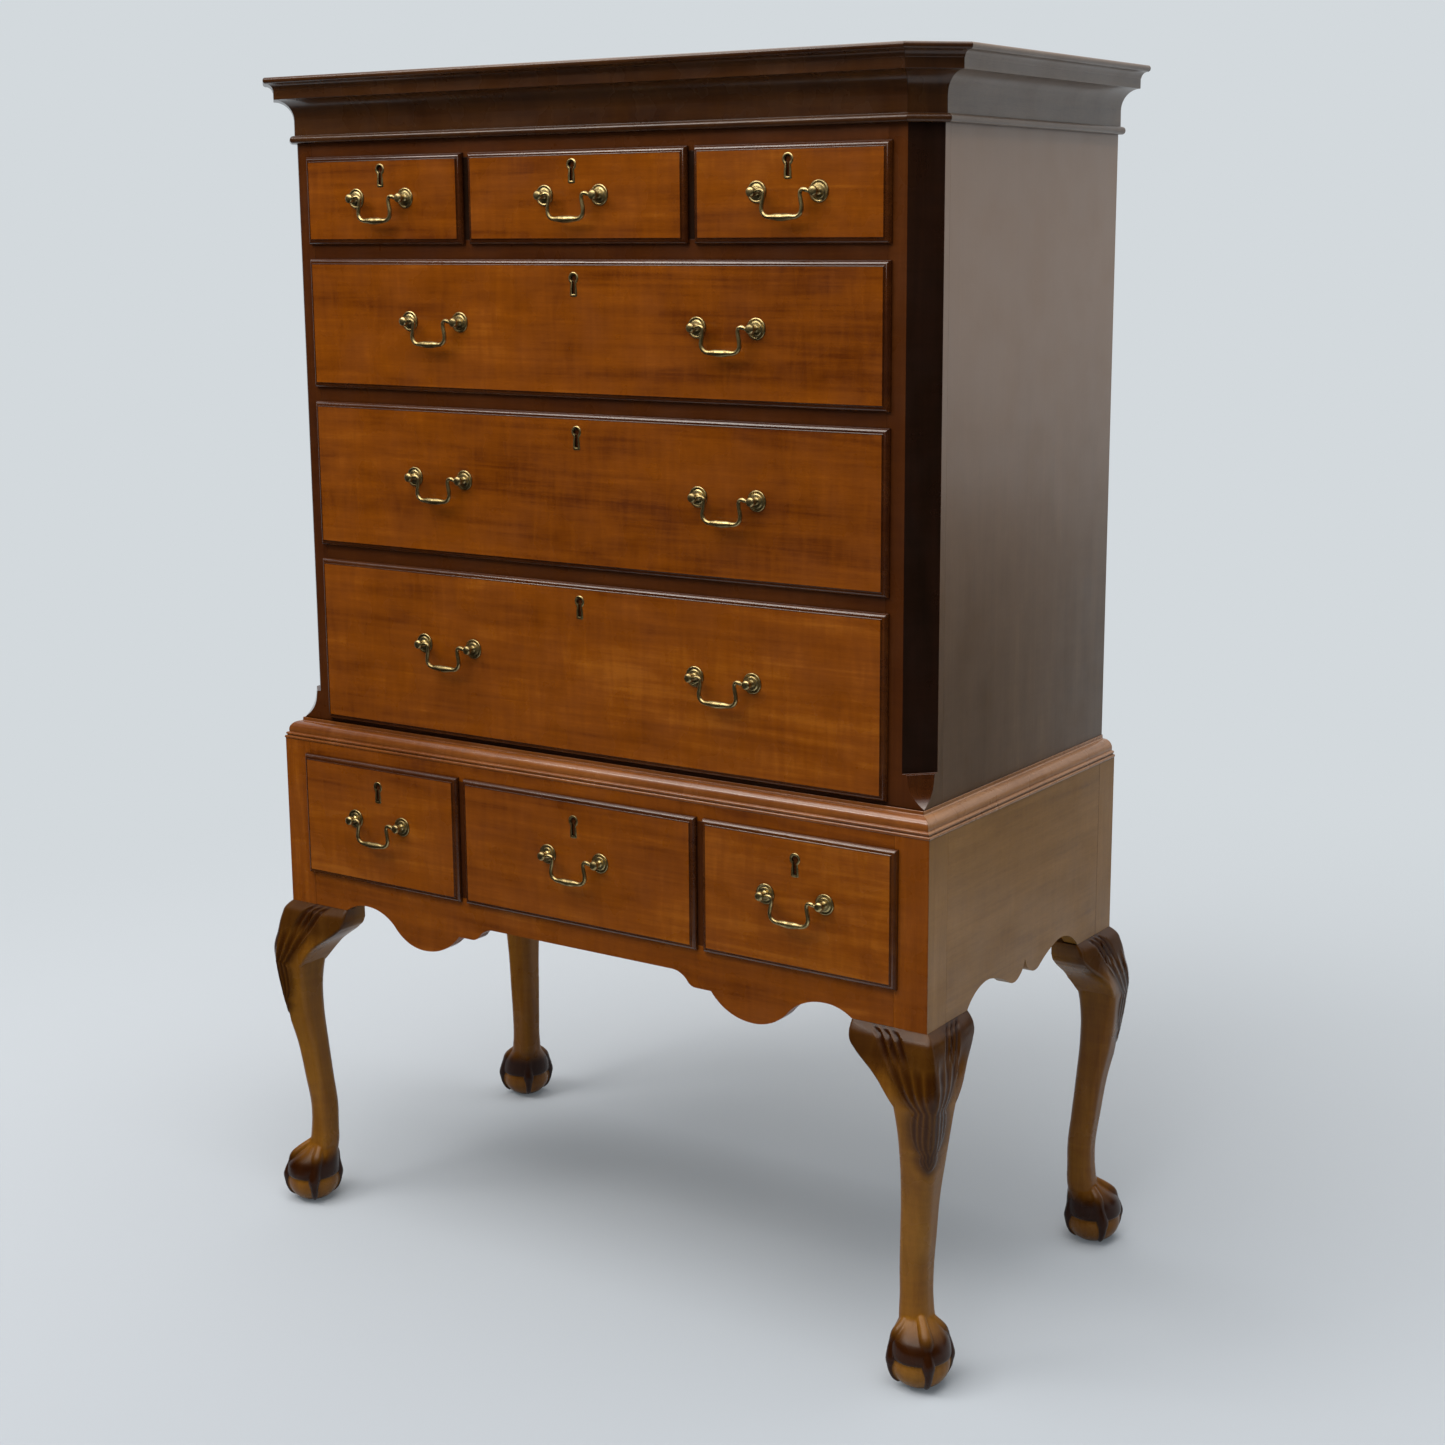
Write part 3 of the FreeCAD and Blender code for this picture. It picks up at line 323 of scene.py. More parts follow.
def piece(name, shape, body, finish, nodes=(), edge=0.0, sharp=32, along=None):
    """Makes an object of a shape in mm, or of a mesh: softens its edges, lays its grain and fits it to its body."""
    made = placed(name, meshed(shape, name) if isinstance(shape, bmesh.types.BMesh) else shape)
    if edge:
        soft = {"width": edge * MM, "segments": 2, "limit_method": "ANGLE", "angle_limit": math.radians(40)}
        soft |= {"harden_normals": False, "use_clamp_overlap": True}
        settle(made, ("BEVEL", soft))
    mesh = made.data
    mesh.materials.clear()
    mesh.materials.append(finish)
    mesh.polygons.foreach_set("use_smooth", [True] * len(mesh.polygons))
    mesh.set_sharp_from_angle(angle=math.radians(sharp))
    if edge:
        settle(made, ("WEIGHTED_NORMAL", {"keep_sharp": True, "weight": 90}))
    lay_grain(made, along)
    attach(made, body)
    if nodes:
        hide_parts(*nodes)
    return made


def repaint(made, finish, chosen):
    """Gives another finish to the faces that chosen picks by their middle in mm and their normal."""
    made.data.materials.append(finish)
    for side in made.data.polygons:
        if chosen(side.center / MM, side.normal):
            side.material_index = len(made.data.materials) - 1


def repaint_boards(made, finish, chosen, spared=lambda side: False):
    """Gives another finish to whole boards, picked by their size in metres, but not to the faces it spares."""
    label = separate_boards(made.data)
    spots = np.array([vertex.co for vertex in made.data.vertices])
    picked = {board for board in np.unique(label) if chosen(np.ptp(spots[label == board], axis=0))}
    made.data.materials.append(finish)
    for side in made.data.polygons:
        side.material_index = int(label[side.vertices[0]] in picked and not spared(side))


def loft(shape, rings, capped=True):
    """Adds a skin through rings of points, closed at both ends."""
    layers = [[shape.verts.new(spot) for spot in ring] for ring in rings]
    for near, far in zip(layers, layers[1:]):
        for index, start in enumerate(near):
            after = (index + 1) % len(near)
            shape.faces.new((start, near[after], far[after], far[index]))
    if capped:
        shape.faces.new(layers[0][::-1])
        shape.faces.new(layers[-1])


def prism(shape, outline, axis, low, high):
    """Adds a flat board: its outline in the plane across an axis, between two levels along it."""
    loft(shape, [[(*spot[:axis], level, *spot[axis:]) for spot in outline] for level in (low, high)])


def block(shape, across, along, up):
    """Adds a square board between pairs of coordinates."""
    corners = [(across[0], along[0]), (across[1], along[0]), (across[1], along[1]), (across[0], along[1])]
    prism(shape, corners, 2, *up)


def traced(steps, count=8):
    """Points along a line of straight stretches (x, y) and arcs (through x, y, to x, y)."""
    points = [steps[0]]
    for step in steps[1:]:
        if len(step) == 4:
            (ax, ay), (bx, by), (cx, cy) = points[-1], step[:2], step[2:]
            span = 2 * (ax * (by - cy) + bx * (cy - ay) + cx * (ay - by))
            squares = [ax * ax + ay * ay, bx * bx + by * by, cx * cx + cy * cy]
            mx = (squares[0] * (by - cy) + squares[1] * (cy - ay) + squares[2] * (ay - by)) / span
            my = (squares[0] * (cx - bx) + squares[1] * (ax - cx) + squares[2] * (bx - ax)) / span
            radius = math.hypot(ax - mx, ay - my)
            begin, middle, end = (math.atan2(y - my, x - mx) for x, y in ((ax, ay), (bx, by), (cx, cy)))
            turn = (end - begin) % math.tau
            if (middle - begin) % math.tau > turn:
                turn -= math.tau
            for number in range(1, count):
                angle = begin + turn * number / count
                points.append((mx + radius * math.cos(angle), my + radius * math.sin(angle)))
        points.append(step[-2:])
    return points


def through(rows, places):
    """Values at places along a smooth curve through rows of (place, value, ...)."""
    rows = np.array(sorted(rows), float)
    spots, values = rows[:, 0], rows[:, 1:]
    slopes = np.gradient(values, spots, axis=0)
    places = np.clip(np.asarray(places, float), spots[0], spots[-1])
    index = np.clip(np.searchsorted(spots, places) - 1, 0, len(spots) - 2)
    span = (spots[index + 1] - spots[index])[..., None]
    part = (places - spots[index])[..., None] / span
    return (
        (2 * part**3 - 3 * part**2 + 1) * values[index]
        + (part**3 - 2 * part**2 + part) * span * slopes[index]
        + (3 * part**2 - 2 * part**3) * values[index + 1]
        + (part**3 - part**2) * span * slopes[index + 1]
    )


def sweep(shape, path, radii, sides, normal=(0, 1, 0)):
    """Adds a bar along points, its thickness changing on the way; it bends in the plane with this normal."""
    normal = Vector(normal)
    rings = []
    last = len(path) - 1
    for index, spot in enumerate(path):
        ahead = (Vector(path[min(index + 1, last)]) - Vector(path[max(index - 1, 0)])).normalized()
        across = ahead.cross(normal).normalized()
        upright = across.cross(ahead)
        ring = []
        for side in range(sides):
            angle = math.tau * side / sides
            reach = across * math.cos(angle) + upright * math.sin(angle)
            ring.append(Vector(spot) + reach * radii[index])
        rings.append(ring)
    loft(shape, rings)


def turned(shape, spot, stations, sides=32):
    """Adds a turned piece that stands out to the front from spot, from stations (out, radius)."""
    x, y, z = spot
    rings = []
    for out, radius in stations:
        turns = [math.tau * side / sides for side in range(sides)]
        rings.append([(x + radius * math.cos(turn), y - out, z + radius * math.sin(turn)) for turn in turns])
    loft(shape, rings)


def corners(node):
    """A node's lowest and highest corners in mm."""
    return [[value / MM for value in corner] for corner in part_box(node)]


def softened(name, node, finish, edge=0.8):
    """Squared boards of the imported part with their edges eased, as a plane and paper leave them."""
    shape = bmesh.new()
    shape.from_mesh(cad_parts[node].data)
    bmesh.ops.remove_doubles(shape, verts=shape.verts, dist=0.00001)
    bmesh.ops.dissolve_limit(shape, angle_limit=math.radians(0.5), verts=shape.verts, edges=shape.edges)
    bmesh.ops.scale(shape, vec=(1 / MM,) * 3, verts=shape.verts)
    return piece(name, shape, "case", finish, [node], edge=edge)


# ---- case

low, high = corners("upper_corner_posts")
upper_half, upper_front = high[0], low[1]
low, high = corners("waist_moulding")
lower_half, lower_front, waist_low, waist_high, rear = high[0] - 1, low[1] + 1, low[2], high[2], high[1]
low, high = corners("cornice")
cornice_low, cornice_high = low[2], high[2]
low, high = corners("front_left_leg")
leg_top = high[2]
knee_top = corners("lower_back")[0][2]
POST = 48
CANT = 32
CORNER_POST = 57
POST_DEPTH = 45
HAIRLINE = 0.08

softened("upper_case_top_board", "upper_top", case_cherry)
for way in ("right", "left"):
    softened(f"upper_case_{way}_side", f"upper_side_{way}", side_cherry, 0.25)
# the upper case's uprights take the corners' painted shade, the lower case's the frame's painted shade
frames = (
    ("upper_case_rails_and_uprights", "upper_drawer_dividers", case_cherry, shaded_cant_cherry),
    ("lower_case_rail_and_uprights", "lower_drawer_dividers", front_cherry, case_cherry),
)
for title, node, rail_finish, upright_finish in frames:
    made = softened(title, node, rail_finish, 0.5)
    repaint_boards(made, upright_finish, lambda size: size[2] > size[0])
softened("upper_case_floor_board", "upper_bottom", bare_pine)
# the back: boards laid across with a hairline between them, each from another plank
(left, near, low), (right, far, high) = corners("upper_back_boards")
shape = bmesh.new()
seams = [0, 172, 338, 520, 676, 850, high - low]
for bottom, top in zip(seams, seams[1:]):
    under = low + bottom + (0.5 if bottom else 0)
    over = low + top - (0.5 if top < high - low else 0)
    block(shape, (left, right), (near, far), (under, over))
piece("upper_case_back_boards", shape, "case", bare_pine, ["upper_back_boards"], edge=1.0, along=0)
softened("upper_case_runners", "upper_drawer_runners", bare_pine)
softened("lower_case_runners", "lower_drawer_runners", bare_pine)
softened("lower_case_back_board", "lower_back", bare_pine, 1.2)

# The canted corner posts: the cant ends below in a small shelf and a hollow that runs out to the square corner.
full = CANT / math.sqrt(2)
hollow = traced([(5.0, 40.5), (6.1, 31.5), (11.1, 14.5, 23.0, 0.3)], 18)
stop = [(0.25, -(waist_high - leg_top)), (0.25, 0)] + [(full - out, up) for out, up in hollow[::-1]]
stop += [(full - 4.6, 41.1), (full - 0.4, 41.5), (full, 42.2), (full, cornice_high - waist_high - 12)]
shape = bmesh.new()
for sign in (1, -1):
    rings = []
    for depth, up in stop:
        leg = max(depth, 0.25) * math.sqrt(2)
        plan = [
            (upper_half - CORNER_POST, upper_front),
            (upper_half - leg, upper_front),
            (upper_half, upper_front + leg),
            (upper_half, upper_front + POST_DEPTH),
            (upper_half - CORNER_POST, upper_front + POST_DEPTH),
        ]
        rings.append([(sign * x, y, waist_high + up) for x, y in plan])
    loft(shape, rings)
node = ["upper_corner_posts"]
posts = piece("upper_case_canted_posts", shape, "case", case_cherry, node, edge=0.5, along=2)
shelf = waist_high + 40
# the cant faces take the corners' painted shade, the stop's hollow and underside the edges' dark painted shade under a
# glossy coat, and the side faces the sides' colour with its painted sheen
repaint(
    posts, shaded_cant_cherry, lambda spot, way: abs(abs(way.x) - abs(way.y)) < 0.2 and abs(way.z) < 0.3 and spot.z > shelf
)
repaint(posts, shaded_edge_cherry, lambda spot, way: spot.z < waist_high + 43 and (way.z < -0.05 or abs(way.x * way.y) > 0.1))
repaint(posts, side_cherry, lambda spot, way: abs(way.x) > 0.98)


def moulding(name, profile, path, node, finish, side_finish):
    """Mitred lengths along a plan path, with a hairline at each mitre; profile is (reach, height) points."""
    path = [Vector(spot) for spot in path]
    ahead = [(end - begin).normalized() for begin, end in zip(path, path[1:])]
    outward = [Vector((way.y * -1, way.x)) for way in ahead]
    mitres = [outward[0]]
    for before, after in zip(outward, outward[1:]):
        mitres.append((before + after) / (1 + before.dot(after)))
    mitres.append(outward[-1])
    shape = bmesh.new()
    last = len(ahead) - 1
    for index, way in enumerate(ahead):
        gaps = [HAIRLINE if index else 0, HAIRLINE if index < last else 0]
        ends = [path[index] + way * gaps[0], path[index + 1] - way * gaps[1]]
        rings = []
        for end, mitre in zip(ends, mitres[index : index + 2]):
            rings.append([(*(end + mitre * reach), level) for reach, level in profile])
        loft(shape, rings)
    made = piece(name, shape, "case", finish, [node], edge=0.35, sharp=28)
    top = (profile[-2][1] - 0.5) * MM
    # the lengths along the sides take the side finish, whose paler colour is painted sheen; their top faces keep the
    # front finish
    repaint_boards(
        made, side_finish, lambda size: size[1] > 0.3, lambda side: side.normal.z > 0.9 and side.center.z > top
    )


# Waist: two small beads at the foot, then a large ovolo under a fillet.
base = waist_low
moulding(
    "waist_moulding_mitred",
    traced([(0, base), (1.0, base + 2.1, 0.1, base + 4.0), (-2, base + 4.6), (-1.7, base + 5.2)])
    + traced([(-1.5, base + 5.5), (-0.5, base + 7.1, -1.5, base + 8.8), (-3.8, base + 9.5)])
    + traced([(-4.0, base + 9.8), (-5.7, base + 19, -17, base + 24.6), (-18.4, base + 25.6)], 14)
    + traced([(-18.5, base + 29.2), (-18.7, base + 29.8, -19.3, base + 30)], 3)
    + [(-19.9, base + 30), (-19.9, base)],
    [(lower_half, rear), (lower_half, lower_front), (-lower_half, lower_front), (-lower_half, rear)],
    "waist_moulding",
    moulding_cherry,
    moulding_side_cherry,
)
# Cornice: bead, frieze, large cove, fascia, small cove and a rounded nose.
base = cornice_low
side = [(upper_half, rear), (upper_half, upper_front + CANT), (upper_half - CANT, upper_front)]
moulding(
    "cornice_mitred",
    traced([(6.0, base), (10.4, base + 5, 6.0, base + 10), (3.2, base + 10.4), (3.0, base + 31)], 10)
    + traced([(3.1, base + 31.4), (10.9, base + 50.1, 29.6, base + 58)], 18)
    + traced([(30, base + 58.6), (30, base + 70.6), (30.6, base + 71), (33.5, base + 76.5, 40.6, base + 79)], 8)
    + traced([(41.2, base + 79.2), (43.7, base + 83, 41.7, base + 86.9), (41, base + 87)], 8)
    + [(0.1, base + 87), (0.1, base)],
    side + [(-x, y) for x, y in reversed(side)],
    "cornice",
    cornice_cherry,
    cornice_side_cherry,
)

# ---- lower case boards

inner = lower_half - POST
low, high = corners("front_apron")
seam = knee_top
half_edge = [
    (0, 488.5), (153.7, 488.5), (166.9, 484.8, 176.2, 477.4), (182, 471.5, 190.8, 469), (214.7, 469),
    (238.1, 448.4, 276.2, 437.6), (307.9, 443, 335.3, 464.1), (357.7, 479.4, 387, 485.5), (409.9, 482.3, 428, seam),
    (inner, seam),
]
side_edge = [
    (0, 497.1), (6.5, 484.8, 15.9, 477.4), (30.1, seam, 44.9, 477.4), (69.8, 489, 100, 497.6), (139.5, 490, 161, seam),
    (218, seam),
]


def scalloped(name, edge, reach, top, axis, levels, node, finish):
    """A board whose lower edge is sawn to a pattern, the same on both sides of its middle."""
    half = traced(edge, 12)
    outline = [(-x, z) for x, z in reversed(half[1:])] + half + [(reach, top), (-reach, top)]
    shape = bmesh.new()
    prism(shape, outline, axis, *levels)
    return piece(name, shape, "case", finish, [node], edge=0.3, sharp=30)


scalloped("front_apron_sawn", half_edge, inner, high[2], 1, (low[1], high[1]), "front_apron", front_cherry)
for side_name in ("left", "right"):
    node = f"lower_side_{side_name}"
    low, high = corners(node)
    title = f"lower_case_{side_name}_side"
    scalloped(title, side_edge, high[1], high[2], 0, (low[0], high[0]), node, low_side_cherry)

# ---- legs

# how far the post's faces stand outside the middle of the foot
INSET = 8.5
FOOT = (lower_half - INSET, -lower_front - INSET)
BALL = 37.6
BALL_HEIGHT = 31
BALL_RISE = 31.6
# height, side, radius of the arris, of the two side corners and of the inner corner, and shift to the case's corner
LEG = [
    (473, 48, 2.5, 1.5, 4, -15.5),
    (468.5, 52.5, 4, 2, 6, -12.7),
    (462, 57, 7, 2.5, 9, -9.2),
    (453, 60, 9, 3, 13, -7.2),
    (440, 63, 10, 3.5, 15, -5.2),
    (427, 66, 11, 4, 16, -3.4),
    (410, 68, 12, 5, 17, -0.4),
    (395, 66, 13, 7, 17, 2.0),
    (381, 62, 14, 8, 17, 3.2),
    (350, 55.5, 15, 10, 16.3, 3.7),
    (305, 48.5, 15.5, 11.5, 16.3, 0.6),
    (250, 41.4, 15.8, 9.6, 15.8, -6.0),
    (195, 39, 16, 9.4, 16, -11.1),
    (147, 38, 16.4, 11, 16.4, -15.1),
    (111, 38.8, 16.6, 13.2, 16.6, -14.6),
    (95, 40.6, 17, 14, 17, -13.8),
    (80, 43, 18, 16, 18, -11.5),
    (56, 44, 19, 18, 19, -7),
]
# half width of the knee's leaf by height, with a notch where each lobe ends
LEAF = [(473, 80), (455, 79), (440, 74), (425, 66), (410, 56), (396, 46), (386, 38), (378, 30), (372, 32)]
LEAF += [(360, 33), (349, 31), (337, 27), (328, 22), (321, 16), (314, 17), (306, 13), (299, 7), (293, 1), (286, 0.2)]


def eased(value):
    """A soft step from 0 to 1."""
    value = np.clip(value, 0, 1)
    return value * value * (3 - 2 * value)


def carving(away, height):
    """The knee's leaf at a distance from the arris and a height: how deep it is cut, and how much stain it holds."""
    edge = through(LEAF, height)[..., 0]
    inside = eased((edge - away) / 2.4 + 0.5)
    across = away / np.maximum(edge, 1)
    low = eased((446 - height) / 26)
    # three bold flutes on the ear, that swing in as they run down
    swing = (away - 34 - (height - 440) * 0.30) / 12.5
    rounded = (4 * (swing % 1) * (1 - swing % 1)) ** 0.7
    bold = (1 - low) * eased((swing + 0.08) / 0.16) * eased((3.1 - swing) / 0.16) * rounded
    # the leaf's veins, four to each side of the arris
    vein = across * 4.0 + 0.16 * np.sin(height / 11)
    vein = (4 * (vein % 1) * (1 - vein % 1)) ** 0.8
    width = np.clip(edge / 45, 0.25, 1)
    top = eased((472 - height) / 8)
    cut = inside * (3.2 * bold * top + 1.7 * vein * width * low)
    ground = np.exp(-((np.maximum(away - edge, 0) / 12) ** 2)) * np.clip((height - 284) / 10, 0, 1) * low
    stain = inside * (low * (0.62 + 0.33 * vein) + (1 - low) * (0.6 + 0.4 * bold)) + 0.7 * (1 - inside) * ground
    stain = np.maximum(stain, 0.8 * eased((height - 395) / 45))
    return cut + (1 - inside) * ground * 1.5, np.clip(stain, 0, 1)


def leg_surface(levels):
    """Points and outward normals of the leg's sections, about the middle of its foot."""
    side, arris, flank, inward, shift = through(LEG, levels).T
    points, normals = [], []
    spread, steps = 10, 24
    for corner, radius in enumerate((arris, flank, inward, flank)):
        way = math.pi / 2 * (corner - 1)
        turn = way + math.pi / 4
        reach = np.array([math.cos(turn), math.sin(turn)]) * math.sqrt(2)
        for number in range(spread + 1):
            angle = way + math.pi / 2 * number / spread
            normal = np.array([math.cos(angle), math.sin(angle)])
            middle = (side / 2 - radius)[:, None] * reach + shift[:, None] * np.array([1, -1])
            points.append(middle + radius[:, None] * normal)
            normals.append(np.broadcast_to(normal, middle.shape))
        straight = (side - radius - (flank if corner % 2 == 0 else (inward if corner == 1 else arris)))[:, None]
        normal = np.array([math.cos(way + math.pi / 2), math.sin(way + math.pi / 2)])
        run = np.array([-normal[1], normal[0]])
        start = points[-1]
        for number in range(1, steps):
            points.append(start + run * straight * number / steps)
            normals.append(np.broadcast_to(normal, start.shape))
    return np.stack(points, 1), np.stack(normals, 1)


def arris_reach(levels):
    """How far the leg's outer faces stand from the middle of its foot."""
    rows = through(LEG, levels)
    return rows[..., 4] + rows[..., 0] / 2


def leg_mesh():
    """The leg from the ball up to the underside of the case, as one carved piece."""
    levels = np.concatenate([np.arange(56, 284, 4.0), np.arange(284, 473.01, 1.0)])
    points, normals = leg_surface(levels)
    reach = arris_reach(levels)[:, None]
    away = np.maximum(reach - points[..., 0], points[..., 1] + reach)
    outer = np.clip((normals[..., 0] - normals[..., 1]) * 2, 0, 1)
    points = points - normals * (carving(away, levels[:, None])[0] * outer)[..., None]
    shape = bmesh.new()
    loft(shape, [[(*spot, level) for spot in ring] for ring, level in zip(points, levels)])
    # the skin that drapes over the ball from the ankle
    skin = [(96, 19, -13.6), (88, 21.5, -12), (81, 25.6, -9), (74, 31, -5.6), (67, 35.4, -2.6), (60, 37.7, -1)]
    skin += [(53, 38.8, -0.3), (47, 39.2, 0), (44, 38.9, 0), (42.4, 37.8, 0), (41.6, 34, 0)]
    rings = []
    for level in np.concatenate([np.arange(41.6, 48, 0.8), np.arange(48, 96.1, 2.4)]):
        radius, shift = through(skin, level)
        turns = np.arange(64) * math.tau / 64
        rings.append([(shift + radius * math.cos(turn), radius * math.sin(turn) - shift, level) for turn in turns])
    loft(shape, rings)
    matrix = Matrix.Translation((0, 0, BALL_HEIGHT)) @ Matrix.Diagonal((BALL, BALL, BALL_RISE, 1))
    bmesh.ops.create_uvsphere(shape, u_segments=64, v_segments=48, radius=1, matrix=matrix)
    # four claws: knuckles along the toe, then the nail that grips the ball; outward, across, height and thickness
    toe = [(-16, 0, 106, 4.5), (-1, 0, 91, 6), (14, 0, 80, 7.4), (24.8, 0, 69, 9.4), (30.6, 0, 58, 7.2)]
    toe += [(34.2, 0, 49, 7.8), (36.2, 0, 40, 8.6), (37.0, 0, 32, 6.4), (36.4, 0, 24, 5.2), (33, 0, 15, 4.2)]
    toe += [(27.5, 0, 8.5, 2.6)]
    spur = [(-24, 0, 104, 4.5), (-28, 0, 88, 6.6), (-31.4, 0, 71, 9), (-34, 0, 58, 7.4), (-35.4, 0, 48, 7.8)]
    spur += [(-36.4, 0, 39, 8.4), (-36.8, 0, 31, 6.2), (-35.8, 0, 23, 5), (-32, 0, 14, 3.8), (-25.5, 0, 8, 2.4)]
    flank = [(-19, 2, 104, 4.5), (-13.5, 10.5, 90, 6.4), (-9.5, 19.5, 79.5, 8.2), (-6, 28.2, 69, 9.4)]
    flank += [(-4, 33.6, 58, 7.4), (-2, 36.0, 49, 7.8), (0, 37.2, 39, 8.6), (0, 37.6, 31, 6.4), (0, 36.6, 23, 5.2)]
    flank += [(0, 33, 14, 4), (0, 27.5, 8, 2.4)]
    outward = Vector((1, -1, 0)).normalized()
    sideways = Vector((1, 1, 0)).normalized()
    for path, mirror, plane in ((toe, 1, sideways), (spur, 1, sideways), (flank, 1, outward), (flank, -1, outward)):
        rows = [(number, out, over * mirror, level, thick) for number, (out, over, level, thick) in enumerate(path)]
        smooth = through(rows, np.linspace(0, len(path) - 1, 4 * len(path)))
        line = [outward * row[0] + sideways * row[1] + Vector((0, 0, row[2])) for row in smooth]
        sweep(shape, line, [row[3] for row in smooth], 20, plane)
    blank = placed("leg_blank", meshed(shape, "leg_blank"))
    settle(
        blank,
        ("REMESH", {"mode": "VOXEL", "voxel_size": 1.1 * MM}),
        ("SMOOTH", {"factor": 0.5, "iterations": 2}),
    )
    carved = bmesh.new()
    carved.from_mesh(blank.data)
    bpy.data.objects.remove(blank)
    stain = carved.verts.layers.float.new("stain")
    for vertex in carved.verts:
        vertex.co.z = max(vertex.co.z, 0)
    spots = np.array([vertex.co for vertex in carved.verts]) / MM
    reach = arris_reach(spots[:, 2])
    away = np.maximum(reach - spots[:, 0], spots[:, 1] + reach)
    outer = (spots[:, 0] > 0) | (spots[:, 1] < 0)
    knee = carving(away, spots[:, 2])[1] * (spots[:, 2] > 284) * outer
    # the skin and the claws are dark, the ball between them is rubbed pale
    radius = np.hypot(spots[:, 0], spots[:, 1])
    ball = BALL * np.sqrt(np.clip(1 - ((spots[:, 2] - BALL_HEIGHT) / BALL_RISE) ** 2, 0, 1))
    claw = eased((radius - ball - 0.3) / 2.4)
    skin = eased((spots[:, 2] - 40.6) / 1.4) * eased((92 - spots[:, 2]) / 30)
    foot = np.maximum(claw * (spots[:, 2] < 46), skin)
    for vertex, dark in zip(carved.verts, np.maximum(knee, foot)):
        vertex[stain] = dark
    # the post that is the case's corner
    post = bmesh.new()
    block(post, (INSET - POST, INSET), (-INSET, POST - INSET), (seam - 1, leg_top))
    bmesh.ops.bevel(post, geom=post.edges[:], offset=0.3, segments=2, affect="EDGES")
    bmesh.ops.scale(post, vec=(MM,) * 3, verts=post.verts)
    join(carved, post)
    whole = bpy.data.meshes.new("cabriole_leg")
    carved.to_mesh(whole)
    carved.free()
    return whole


def ear_shape():
    """A knee block: its face carries on the knee's swelling and carving; about the middle of the foot."""
    outline = [(-99.5, 455), (-97, 449), (-88, 439), (-72, 427), (-57, 416.5), (-45.5, 406), (-37, 395.5)]
    outline += [(-30.5, 386.5), (-25.5, 380), (-22, 376.5)]
    rings, stains = [], []
    for along in np.concatenate([np.arange(-99.5, -38, 1.5), np.arange(-38, -21.9, 1)]):
        back = POST - INSET - 10 - 8 * min(max((along + 44) / 18, 0), 1)
        bottom = float(through(outline, along)[0])
        part = np.linspace(0, 1, 90)
        levels = seam - 0.15 - (seam - 0.15 - bottom) * part
        fade = min(max((-39.5 - along) / 60, 0), 1)
        reach = arris_reach(levels)
        face = INSET + (reach - INSET) * (1 - 0.30 * fade**1.4)
        near = np.clip((levels - bottom) / 5, 0, 1)
        face = face - 3.5 * (1 - np.sqrt(1 - (1 - near) ** 2)) - 2.5 * max((along + 99.5) / -3 + 1, 0) ** 2
        face = face - carving(reach - along, levels)[0]
        ring = [(along, -depth, level) for depth, level in zip(face, levels)]
        ring += [(along, back, bottom), (along, back, seam - 0.15)]
        rings.append(ring)
        stains += [*carving(reach - along, levels)[1], 0, 0]
    shape = bmesh.new()
    loft(shape, rings)
    stain = shape.verts.layers.float.new("stain")
    for vertex, dark in zip(shape.verts, stains):
        vertex[stain] = dark
    return shape


carved_leg = leg_mesh()
# each leg's side of the case, its turn in degrees, and which of its knee blocks are mirrored
LEGS = {
    "front_right": (1, -1, 0, (False, True)),
    "back_right": (1, 1, 90, (False,)),
    "back_left": (-1, 1, 180, (True,)),
    "front_left": (-1, -1, 270, (False, True)),
}
FLIP = Matrix(((0, -1, 0, 0), (-1, 0, 0, 0), (0, 0, 1, 0), (0, 0, 0, 1)))
ears = bmesh.new()
for corner, (across, along, turn, blocks) in LEGS.items():
    spot = Matrix.Translation((FOOT[0] * across, FOOT[1] * along, 0)) @ Matrix.Rotation(math.radians(turn), 4, "Z")
    own = carved_leg.copy()
    own.transform(Matrix.Scale(MM, 4) @ spot @ Matrix.Scale(1 / MM, 4))
    leg = piece(f"{corner}_cabriole_leg", own, "case", leg_cherry, [f"{corner}_leg"], sharp=50, along=2)
    # above the seam the post's front takes the fronts' colour, its sides the stand sides' colour with its painted sheen
    repaint(leg, front_cherry, lambda spot, way: spot.z > seam + 1 and way.y < -0.8)
    repaint(leg, low_side_cherry, lambda spot, way: spot.z > seam + 1 and abs(way.x) > 0.8)
    for mirrored in blocks:
        ear = ear_shape()
        bmesh.ops.transform(ear, matrix=spot @ (FLIP if mirrored else Matrix.Identity(4)), verts=ear.verts)
        join(ears, ear)
piece("carved_knee_blocks", ears, "case", leg_cherry, ["knee_blocks"], sharp=40, along=2)

# ---- drawers

# the pull's posts and hinge, the front's field and body, and the thickness and lap of the box's sides
BORING = 88
STAND = 14
FIELD = 9
BODY = 14
SIDE = 11
LAP = 5
# the brass round a keyhole
RING = 3.1


def keyhole(grow):
    """The outline of a keyhole, each line moved out by grow: a round head and a tail that widens downwards."""
    radius, count = 4.8 + grow, 20
    points = []
    for number in range(count + 1):
        angle = math.radians(-58 + 296 * number / count)
        points.append((radius * math.cos(angle), 7.5 + radius * math.sin(angle)))
    points += [(-2.3 - grow, -6), (-2.6 - grow, -12 - grow), (-1.8 - grow * 0.6, -13 - grow)]
    points += [(1.8 + grow * 0.6, -13 - grow), (2.6 + grow, -12 - grow), (2.3 + grow, -6)]
    return points


